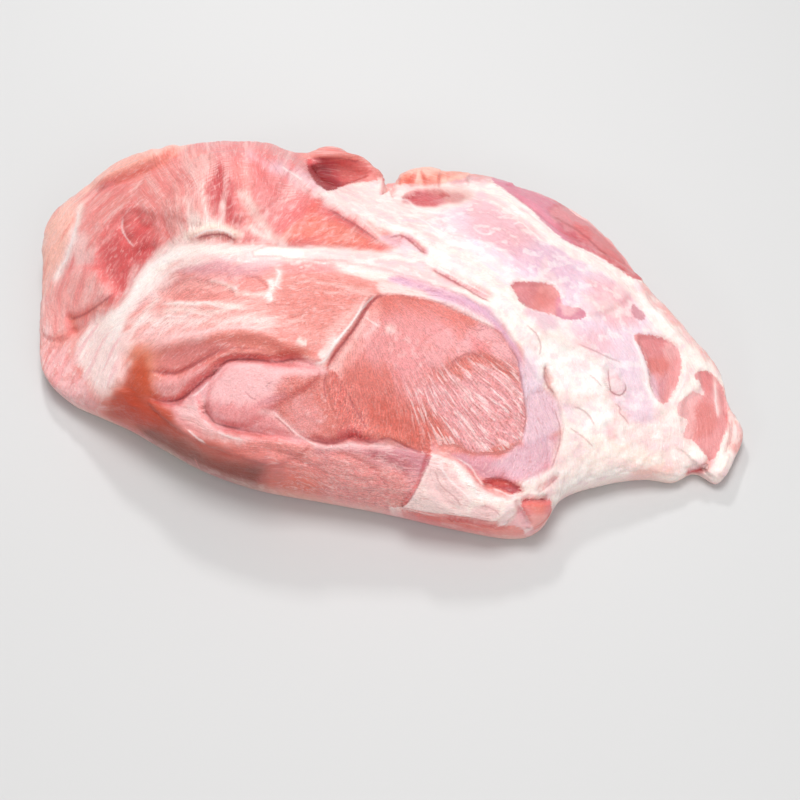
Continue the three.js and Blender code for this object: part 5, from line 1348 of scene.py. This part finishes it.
PALE_LINES = [
    (0.8, 0.5, [-37, 14.6, -32, 15.6, -29.4, 18.6, -25.4, 24.6, -14.2, 39.8, -9, 44.2]),
    (0.5, 0.4, [-14.6, 34.8, -11.6, 32.4, -8.4, 30.4]),
    (0.4, 0.4, [-53, -4.4, -44, -13, -40, -16, -34, -19]),
    (0.45, 0.45, [-100, 39.6, -92, 40.4, -85, 39.6, -80, 40.6, -74, 38.6, -66, 38.2]),
    (0.4, 0.4, [-98, 35.4, -90, 34.4, -85, 36, -77, 34.8]),
    (0.55, 0.45, [-57, 42, -53.6, 44, -53.4, 40.4]),
    (0.55, 0.45, [-51.6, 55, -49.6, 52.4, -51.4, 48, -48.4, 46]),
    (0.45, 0.45, [-114, 76, -114.6, 71, -112, 66, -109.6, 63.4]),
    (0.5, 0.45, [-49, 97, -44, 94, -40, 91]),
    (0.8, 0.55, [-86, 67, -82, 69.4, -77, 70.6, -72, 70, -67.4, 67.4]),
    (0.6, 0.5, [-134, 80, -133, 75, -137, 60, -141, 54]),
    (0.4, 0.5, [30, 72, 33, 69.4, 37, 69, 37.4, 71.4]),
    (0.5, 0.5, [-10, 84, 2, 83, 8, 79, 24, 76.4]),
    (0.5, 0.45, [10, 57.2, 17, 53.8, 31, 46.4, 39, 42.6]),
    (0.5, 0.5, [118, 17.6, 117.2, 8, 114.6, 2, 112, -3]),
    (0.5, 0.45, [129.8, 8, 130.4, 0, 131.2, -8]),
    (0.6, 0.5, [95.8, 26.4, 99.4, 18.6, 101.4, 11.6, 102.2, 6, 104.8, 0]),
    # painted glints where the wet membrane shines at its lower left
    (0.6, 0.4, [-88, -12, -84, -15.5, -80, -18]),
    (0.5, 0.4, [-76, -13, -70, -15.5, -64, -16.5]),
    (0.5, 0.4, [-86, 1, -82, 4, -79, 7.5]),
    (0.5, 0.5, [37, 91.4, 52.6, 79, 67, 65.8, 72, 63, 80, 60, 90, 53.4]),
    (0.6, 0.4, [46, 72.6, 50, 73.6, 54, 70.4, 58, 66.6]),
    (0.5, 0.4, [23.6, -24, 29.2, -27.6, 32.4, -32.6, 35.4, -36.6]),
    (0.5, 0.45, [46.4, 49.2, 52, 49.6, 58, 49.4, 63.4, 48.6, 67, 45]),
    (0.6, 0.4, [49, -38.4, 46, -40, 42, -38.4, 38, -36.8]),
    (0.6, 0.45, [16, -27, 20, -33, 27, -39, 30, -44]),
    (0.5, 0.4, [-2, 79, 10, 74, 20, 66]),
    (0.45, 0.4, [-22, 83, -10, 76, 0, 71]),
]
# half widths beside a line that stand for far away
FAR_BESIDE = 9.0


def fine_lines(p, q, rows):
    """Distance to the nearest line over its half width, minus on its left and plus on its right, and the
    line's strength, which fades at its ends and at four to seven half widths beside it."""
    beside, ink = np.full(p.shape, FAR_BESIDE), np.zeros(p.shape)
    for strength, half, points in rows:
        path = curve(points, False, 6)
        near = near_box(p, q, path, 8 * half)
        x, y = p[near], q[near]
        distance, share, best = nearest(x, y, path)
        far = distance / half
        start, step = path[best], np.diff(path, axis=0)[best]
        side = np.sign((y - start[:, 1]) * step[:, 0] - (x - start[:, 0]) * step[:, 1])
        closer = far < np.abs(beside[near])
        beside[near] = np.where(closer, far * -side, beside[near])
        faded = strength * smooth(0, 0.12, share) * smooth(0, 0.12, 1 - share) * (1 - smooth(4, 7, far))
        ink[near] = np.where(closer, faded, ink[near])
    return beside, ink


dark_beside, dark_ink = fine_lines(half_p, half_q, DARK_LINES)
pale_beside, pale_ink = fine_lines(half_p, half_q, PALE_LINES)
print(len(DARK_LINES), "dark and", len(PALE_LINES), "pale fine lines")

# %% [markdown]
# ## The side that the eye doesn't see
# The map only covers what the eye sees, so the sides behind and the base are painted in space instead.
# The same muscles run on there: coral bands between pale seams, and more fat towards the right. The two
# paintings are blended where the surface turns away from the eye.

# %% Bands of the hidden side
front_colour, front_below = colour, meat_below
spots = surface.reshape(-1, 3)
PAINTED_SEAM_HALF = 0.5
near_seam = seams(spots, PAINTED_SEAM_HALF)
side_fray = layered(spots[:, 0] / 17 + spots[:, 1] / 31, seam_place(spots) / 2.2, seed=14)
side_soft = lumps(spots, 16.0, 15)
colour = np.tile(linear(COLOURS["coral"]), (len(spots), 1))
lay(smooth(-0.2, 0.5, side_soft + 0.3 * side_fray), "rose")
lay(0.6 * smooth(0.1, 0.5, side_fray), "pale coral")
lay(0.5 * smooth(-0.1, -0.5, side_fray), "red")
fat_side = smooth(-30, 90, spots[:, 0] + 60 * side_soft)
lay(0.75 * fat_side, "pale pink")
lay(0.8 * smooth(0.25, 0.9, near_seam + 0.5 * side_fray), "pinkish white")
lay(0.5 * near_seam**6, "deep red")
side_colour = colour

# %% Both paintings finished
# painted shade: shares of red, green and blue taken away where a groove or a steep step lies in shadow
CREASE_SHADE_TINT = np.array([0.06, 0.36, 0.36])
DEPTH_OF_COLOUR = 1.14
# groove depth at which the painted shade is full, and a step between two points that is still gentle, in mm
FULL_SHADE_DEPTH, GENTLE_STEP = 2.6, 0.25
slope = np.hypot(*np.gradient(height.reshape(way.shape))).reshape(-1)
crease_shade = np.clip(np.maximum(-height.reshape(-1) / FULL_SHADE_DEPTH, slope - GENTLE_STEP), 0, 1)
crease_shade = crease_shade * facing * (1 - 0.4 * fat_mask)
print("steepest step between two points", round(float(slope.max()), 2), "mm")


def finished(front):
    """A painting blended into the hidden side, with painted shade in grooves and on steep steps, darker and
    redder there as the shadow of meat is, and raised to a power."""
    whole = front * facing[:, None] + side_colour * (1 - facing[:, None])
    return (whole * (1 - crease_shade[:, None] * CREASE_SHADE_TINT))**DEPTH_OF_COLOUR


tissue_colour, below_colour = finished(front_colour), finished(front_below)
shown = np.where(opening[:, None] > 0, below_colour, tissue_colour)
print("mean colour", (shown.mean(0)).round(3))

# %% [markdown]
# ## The underside
# The base is the pale outer fat of the cut, pressed flat. Its colour starts from the rim above it and
# turns to fat within a few rings, so no seam shows where the meat rolls under.

# %% Colour under the rim
rim_ids = border[:, 0] * way.shape[1] + border[:, 1]
white_fat, pink_fat = linear(COLOURS["warm white"]), linear(COLOURS["pink"])
pinkness = smooth(-0.3, 0.4, lumps(under.reshape(-1, 3), 14.0, 16))[:, None]
fat_under = white_fat + (pink_fat - white_fat) * pinkness
ring_number = np.arange(1, len(under) + 1)
fade = np.repeat((ring_number / len(under))**0.7, under.shape[1])[:, None]
# the rim's colours are averaged over this many points to both sides, fully so from the third ring on
SOFT_POINTS, SOFT_RINGS = 14, 3
steps = range(-SOFT_POINTS, SOFT_POINTS + 1)
soft_rim = sum(np.roll(shown[rim_ids], step, 0) for step in steps) / len(steps)
softened = np.clip(ring_number / SOFT_RINGS, 0, 1)[:, None, None]
rim_colour = (shown[rim_ids] * (1 - softened) + soft_rim * softened).reshape(-1, 3)
under_colour = rim_colour * (1 - fade) + fat_under * fade
rest = np.vstack([under_colour, linear(COLOURS["pale pink"])[None]])
drop = np.linalg.norm(under - surface.reshape(-1, 3)[rim_ids], axis=2)
under_way = np.stack(np.broadcast_arrays(fibre_u[rim_ids], fibre_v[rim_ids] + drop, 0.0), -1).reshape(-1, 3)
print("colours for", len(rest), "points under the rim, down to", round(float(drop.max()), 1), "mm from it")

# %% Wetness, leanness and the way of the fibres
grain_strength = np.clip((0.35 + 0.65 * (1 - fat_mask)) * (0.6 + 0.4 * oval_mask), 0, 1) * (1 - near_border)
wet = np.clip(0.55 + 0.35 * oval_mask - 0.25 * fat_mask + 0.3 * frays["soft"], 0, 1)
right_wall = inside([-42, -19, -36, -20, -16, -21, 2, -25, 8, -36, 2, -50, -44, -46], 6.0)
wrinkled = np.clip(right_wall + 0.5 * ragged + 0.25 * fat_mask, 0, 1) * facing
torn = np.clip(front_wall - 2 * wall_shade + ragged + field, -1, 1)
speckled = 0.5 + facing * (0.5 * torn + 0.8 * oval_mask - 0.2 * fat_mask)
shaded_brown = inside([-120, 26, -102, 24, -100, 2, -86, -12, -62, -22, -54, -30, -60, -46, -124, -30], 3.0)
dented = inside([0, 81, 5, 87, 18, 88.5, 30, 86, 27, 81, 13, 79], 2.0)
fatty = fat_mask * facing * (1 - dented) + 0.4 * (1 - facing)
veil = inside(PATCHES["membrane"][2], 3.0)
lean = 1 - fat_mask - 0.7 * band - 0.6 * oval_mask - 0.5 * ragged - 0.7 * veil - 0.85 * shaded_brown
lean = np.clip(lean, 0, 1) * facing
lean *= 1 - 0.8 * smooth(-118, -132, paint_p)
lean += 0.5 * (1 - facing)


def all_points(values, filler):
    """A value for each point of the top, and one filler for the points under the rim."""
    values = np.asarray(values, float)
    rest = np.full((len(vertices) - TOP_COUNT, *values.shape[1:]), filler, float)
    return np.concatenate([values, rest])


# %% [markdown]
# ## Putting the mesh together
# The points, faces and point colours go into one mesh. The fibres' own coordinates go in as attributes
# too, so the material can draw finer fibres than the mesh could hold, and they still follow the meat.

# %% Mesh and attributes
def add_to_scene(name, data):
    """A new object that shows some data, linked into the scene."""
    made = bpy.data.objects.new(name, data)
    bpy.context.collection.objects.link(made)
    return made


def make_piece(name, points, quads, triangles):
    """A smooth mesh from points in millimetres."""
    mesh = bpy.data.meshes.new(name)
    mesh.from_pydata((points / 1000).tolist(), [], quads.tolist() + triangles.tolist())
    mesh.polygons.foreach_set("use_smooth", np.ones(len(mesh.polygons), bool))
    mesh.update()
    return add_to_scene(name, mesh)


def store(mesh, name, kind, values):
    """Values of one attribute for all points: a colour, a vector or a number."""
    layer = mesh.attributes.new(name, kind, "POINT")
    field = {"FLOAT_COLOR": "color", "FLOAT_VECTOR": "vector", "FLOAT": "value"}[kind]
    layer.data.foreach_set(field, np.ascontiguousarray(values, np.float32).reshape(-1))


roast = make_piece("pork_shoulder_meat", placed, quads, fan)
mesh = roast.data
for name, top in (("Paint", tissue_colour), ("Below", below_colour)):
    store(mesh, name, "FLOAT_COLOR", np.hstack([np.vstack([top, rest]), np.ones((len(vertices), 1))]))
top_way = np.stack([fibre_u, fibre_v, np.zeros_like(fibre_u)], 1)
store(mesh, "FibreWay", "FLOAT_VECTOR", np.vstack([top_way, under_way, [[0, 0, 0]]]))
# name, values of the top, value under the rim
MEASURES = [
    ("Fibrous", grain_strength, 0.35), ("Wet", wet, 0.3), ("Lean", lean, 0.5), ("Fatty", fatty, 0.4),
    ("Cut", cut_fibres * facing, 0), ("Wrinkled", wrinkled, 0.2), ("Speckled", speckled, 0.5),
    ("Opening", opening, -OPENING_REACH), ("DarkBeside", dark_beside, FAR_BESIDE),
    ("DarkInk", dark_ink * facing, 0), ("PaleBeside", pale_beside, FAR_BESIDE),
    ("PaleInk", pale_ink * facing, 0),
]
for name, values, filler in MEASURES:
    store(mesh, name, "FLOAT", all_points(values, filler))
names = [a.name for a in mesh.attributes if a.name[0].isupper()]
print(mesh.name, len(mesh.polygons), "faces, attributes:", ", ".join(names))

# %% [markdown]
# ## The raw meat material
# Raw pork is wet and slightly see-through: light enters, spreads a few millimetres and leaves pinker.
# The painted colour drives a shader with a little subsurface light, a smooth wet coat, and bumps that
# follow the fibres. Fine noise stretched along the fibres breaks the paint up where the mesh is too
# coarse, which is cheaper than more triangles.

# %% Node helpers
def new_look(name):
    """A material with its shader."""
    look = bpy.data.materials.new(name)
    look.use_nodes = True
    return look, look.node_tree.nodes["Principled BSDF"]


material, shader = new_look("raw_pork_meat")
tree = material.node_tree


def node(kind, **settings):
    """A new node with its settings."""
    made = tree.nodes.new(kind)
    for key, value in settings.items():
        setattr(made, key, value)
    return made


def wire(value, socket):
    """Connects an output, or writes a plain value, to an input."""
    if isinstance(value, bpy.types.NodeSocket):
        tree.links.new(value, socket)
    else:
        socket.default_value = value


def set_inputs(made, values):
    """Connects or writes several inputs of a node, each by its name."""
    for name, value in values.items():
        wire(value, made.inputs[name])


def attribute(name, field="Fac"):
    """The output of a stored attribute."""
    return node("ShaderNodeAttribute", attribute_name=name).outputs[field]


def calculate(operation, *values):
    """One step of arithmetic on numbers or outputs."""
    made = node("ShaderNodeMath", operation=operation)
    for value, socket in zip(values, made.inputs):
        wire(value, socket)
    return made.outputs[0]


def noise_at(vector, scale, detail, distortion):
    """Noise from 0 to 1 with its middle at 0.5, read at a vector times the scale."""
    made = node("ShaderNodeTexNoise")
    set_inputs(made, {"Vector": vector, "Scale": scale, "Detail": detail, "Distortion": distortion})
    return made.outputs["Fac"]


def fibre_noise(scale, detail=3.0, distortion=0.6):
    """Noise read in the fibres' own coordinates, after they are scaled along and across the fibre."""
    mapping = node("ShaderNodeMapping")
    set_inputs(mapping, {"Vector": attribute("FibreWay", "Vector"), "Scale": scale})
    return noise_at(mapping.outputs[0], 1.0, detail, distortion)


def blend_numbers(share, low, high):
    """low + share * (high - low)."""
    made = node("ShaderNodeMix", data_type="FLOAT")
    for value, key in ((share, 0), (low, 2), (high, 3)):
        wire(value, made.inputs[key])
    return made.outputs[0]


def blend_colours(share, low, high, how="MIX"):
    """One colour laid over another by a share."""
    made = node("ShaderNodeMix", data_type="RGBA", blend_type=how)
    for value, key in ((share, 0), (low, 6), (high, 7)):
        wire(value, made.inputs[key])
    return made.outputs[2]


print("node helpers ready")

# %% Fibres in the material
place = node("ShaderNodeTexCoord").outputs["Object"]


def space_noise(scale, detail=3.0):
    """Noise in the object's own space; scale is cells per metre."""
    return noise_at(place, scale, detail, 0.0)


def ramp(value, low, high):
    """0 below low and 1 above high."""
    made = node("ShaderNodeMapRange", interpolation_type="SMOOTHSTEP")
    set_inputs(made, {"Value": value, "From Min": low, "From Max": high})
    return made.outputs[0]


def centred(value, size):
    """(value - 0.5) * size, for noise that shakes something to both sides."""
    return calculate("MULTIPLY", calculate("SUBTRACT", value, 0.5), size)


fine_fibres = fibre_noise((0.22, 0.95, 1.0), detail=3.5, distortion=1.2)
hair_fibres = fibre_noise((0.4, 2.2, 1.0), detail=2.0)
furrows = fibre_noise((0.13, 1.05, 1.0), detail=1.8, distortion=0.7)
waves = fibre_noise((0.2, 0.6, 1.0), distortion=1.6)
grain = space_noise(1500.0, detail=2.0)
wrinkles = space_noise(420.0)
mottles = space_noise(190.0, detail=5.0)
rim_shake = centred(space_noise(800.0), 2.0)
print("fibre textures ready")


# %% Openings and fine lines
def fine_line(name):
    """Strength * exp(-(distance in half widths)^2), with the distance shaken by noise."""
    beside = calculate("ADD", attribute(name + "Beside"), rim_shake)
    bell = calculate("EXPONENT", calculate("MULTIPLY", calculate("MULTIPLY", beside, beside), -1.0))
    return calculate("MULTIPLY", bell, attribute(name + "Ink"))


# the rim of an opening is shaken in mm, and blends over 0.4 mm to both sides
both_shakes = calculate("ADD", rim_shake, centred(hair_fibres, 1.6))
opened = ramp(calculate("ADD", attribute("Opening"), both_shakes), -0.4, 0.4)
dark_line, pale_line = fine_line("Dark"), fine_line("Pale")
print("openings and fine lines wired")

# %% Colour of the meat
def tinted(below, marks, low, high, part, strength, tint):
    """A tint over the colour below, by ramp(marks, low, high) * part * strength."""
    share = calculate("MULTIPLY", ramp(marks, low, high), calculate("MULTIPLY", part, strength))
    return blend_colours(share, below, (*tint, 1))


fatty_part, lean_part, cut_part, skin_part = (attribute(a) for a in ("Fatty", "Lean", "Cut", "Wrinkled"))
off_middle = calculate("ABSOLUTE", calculate("SUBTRACT", waves, 0.5))
# noise, where the tint starts, where it is full, part of the meat, strength, tint
FAT_TINTS = [
    (mottles, 0.5, 0.66, fatty_part, 0.4, (0.88, 0.58, 0.64)),
    (mottles, 0.5, 0.38, fatty_part, 0.4, (1.0, 0.93, 0.89)),
]
# pale and dark fibres; on the cut fibres, pale tops that are painted glints and dark troughs that are
# painted shade; and pale folds where a wrinkled skin's noise crosses its middle
MEAT_TINTS = [
    (fine_fibres, 0.53, 0.7, lean_part, 0.32, (0.95, 0.66, 0.63)),
    (fine_fibres, 0.47, 0.28, lean_part, 0.35, (0.55, 0.15, 0.12)),
    (furrows, 0.53, 0.64, cut_part, 0.6, (1.0, 0.76, 0.74)),
    (furrows, 0.46, 0.36, cut_part, 0.45, (0.52, 0.16, 0.13)),
    (off_middle, 0.035, 0.0, skin_part, 0.45, (1.0, 0.72, 0.69)),
]
PALE_INK, DARK_INK = (1.0, 0.86, 0.84, 1), (0.34, 0.05, 0.06, 1)
paint = attribute("Paint", "Color")
for row in FAT_TINTS:
    paint = tinted(paint, *row)
paint = blend_colours(opened, paint, attribute("Below", "Color"))
for row in MEAT_TINTS:
    paint = tinted(paint, *row)
# light and dark specks, along the fibres and as fine grain
speck = calculate("ADD", centred(hair_fibres, 0.7), centred(grain, 0.6))
specks = calculate("ADD", 1.0, calculate("MULTIPLY", speck, attribute("Speckled")))
paint = blend_colours(1.0, paint, specks, "MULTIPLY")
# fine lines: pale ones are membrane ends and a few painted glints, dark ones partly painted shade in creases
paint = blend_colours(dark_line, blend_colours(pale_line, paint, PALE_INK), DARK_INK)
set_inputs(shader, {
    "Base Color": paint, "Subsurface Weight": 0.12, "Subsurface Radius": (1.0, 0.35, 0.25),
    "Subsurface Scale": 0.003})
print("painted colour wired")

# %% Wet gloss and bumps
wetness = attribute("Wet")
roughness = calculate("ADD", blend_numbers(wetness, 0.5, 0.32), centred(hair_fibres, 0.25))
set_inputs(shader, {
    "Roughness": roughness, "IOR": 1.4, "Coat Weight": calculate("MULTIPLY", wetness, 0.75),
    "Coat Roughness": 0.09})
fibre_height = calculate("MULTIPLY", fine_fibres, attribute("Fibrous"))
line_height = calculate("MULTIPLY", calculate("SUBTRACT", pale_line, dark_line), 0.4)
edge_height = calculate("SUBTRACT", line_height, calculate("MULTIPLY", opened, 0.2))
wrinkle_height = calculate("MULTIPLY", wrinkles, 0.8)
broad_height = calculate("ADD", calculate("ADD", fibre_height, edge_height), wrinkle_height)
furrow_height = calculate("MULTIPLY", furrows, calculate("MULTIPLY", cut_part, 1.5))
wave_height = calculate("MULTIPLY", waves, calculate("MULTIPLY", skin_part, 1.6))
fine_height = calculate("ADD", calculate("MULTIPLY", hair_fibres, 0.5), calculate("MULTIPLY", grain, 0.35))
small_height = calculate("ADD", calculate("ADD", furrow_height, wave_height), fine_height)
raised = calculate("ADD", broad_height, small_height)


def bumped(height, distance, strength):
    """A normal tilted by a height; the distance in metres is the height of a value of one."""
    made = node("ShaderNodeBump")
    set_inputs(made, {"Strength": strength, "Distance": distance, "Height": height})
    return made.outputs[0]


set_inputs(shader, {
    "Normal": bumped(raised, distance=0.0009, strength=0.5),
    "Coat Normal": bumped(raised, distance=0.0014, strength=0.7)})
mesh.materials.append(material)
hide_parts("pork_shoulder")
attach(roast, "root")
print("material on", roast.name)

# %% [markdown]
# ## Floor, light and camera
# Food is pictured in broad soft light that comes from above and a little behind, so wet surfaces shine
# and creases keep gentle shadows. A large lamp does this, with a weak one from the front and a pale sky.

# %% Floor and sky
floor_mesh = bpy.data.meshes.new("floor")
FLOOR_HALF = 2.0
corners = [(FLOOR_HALF * x, FLOOR_HALF * y, 0) for x, y in ((-1, -1), (1, -1), (1, 1), (-1, 1))]
floor_mesh.from_pydata(corners, [], [(0, 1, 2, 3)])
floor = add_to_scene("floor", floor_mesh)
floor_look, floor_shader = new_look("pale_floor")
set_inputs(floor_shader, {"Base Color": (0.62, 0.62, 0.62, 1), "Roughness": 0.7})
floor_mesh.materials.append(floor_look)
world = bpy.data.worlds.new("pale_sky")
bpy.context.scene.world = world
world.use_nodes = True
set_inputs(world.node_tree.nodes["Background"], {"Color": (1.0, 0.99, 0.98, 1), "Strength": 0.4})
print("floor and sky")


# %% Lamps
def standing(right, up, back, place):
    """The matrix whose columns are three directions and a place in metres."""
    return Matrix([[right[k], up[k], back[k], place[k]] for k in range(3)] + [[0, 0, 0, 1]])


def lamp(name, place, size, power):
    """A square soft lamp that faces the roast, with its size in metres and its power in watts."""
    light = bpy.data.lights.new(name, "AREA")
    light.size, light.energy = size, power
    back = np.array(place) / np.linalg.norm(place)
    side = unit(np.cross([0, 1.0, 0.01], back))
    add_to_scene(name, light).matrix_world = standing(side, np.cross(back, side), back, place)


lamp("key", (0.02, 0.1, 1.0), 0.4, 5.6)
lamp("fill", (0.4, -0.8, 0.6), 0.7, 2.7)
lamp("spark", (-0.1, 0.75, 0.75), 0.12, 3.4)
lamp("low spark", (-0.6, -0.5, 0.5), 0.14, 0.6)
bpy.context.scene.view_settings.view_transform = "Standard"

# %% Camera
LENS_PIXELS, PICTURE_PIXELS, SENSOR = 1336.0, 800.0, 36.0
camera_data = bpy.data.cameras.new("camera")
camera_data.sensor_width = SENSOR
camera_data.lens = SENSOR * LENS_PIXELS / PICTURE_PIXELS
camera = add_to_scene("camera", camera_data)
camera.matrix_world = standing(RIGHT, UP, -AHEAD, (EYE + SHIFT) / 1000)
bpy.context.scene.camera = camera
print("lens", round(camera_data.lens, 1), "mm")
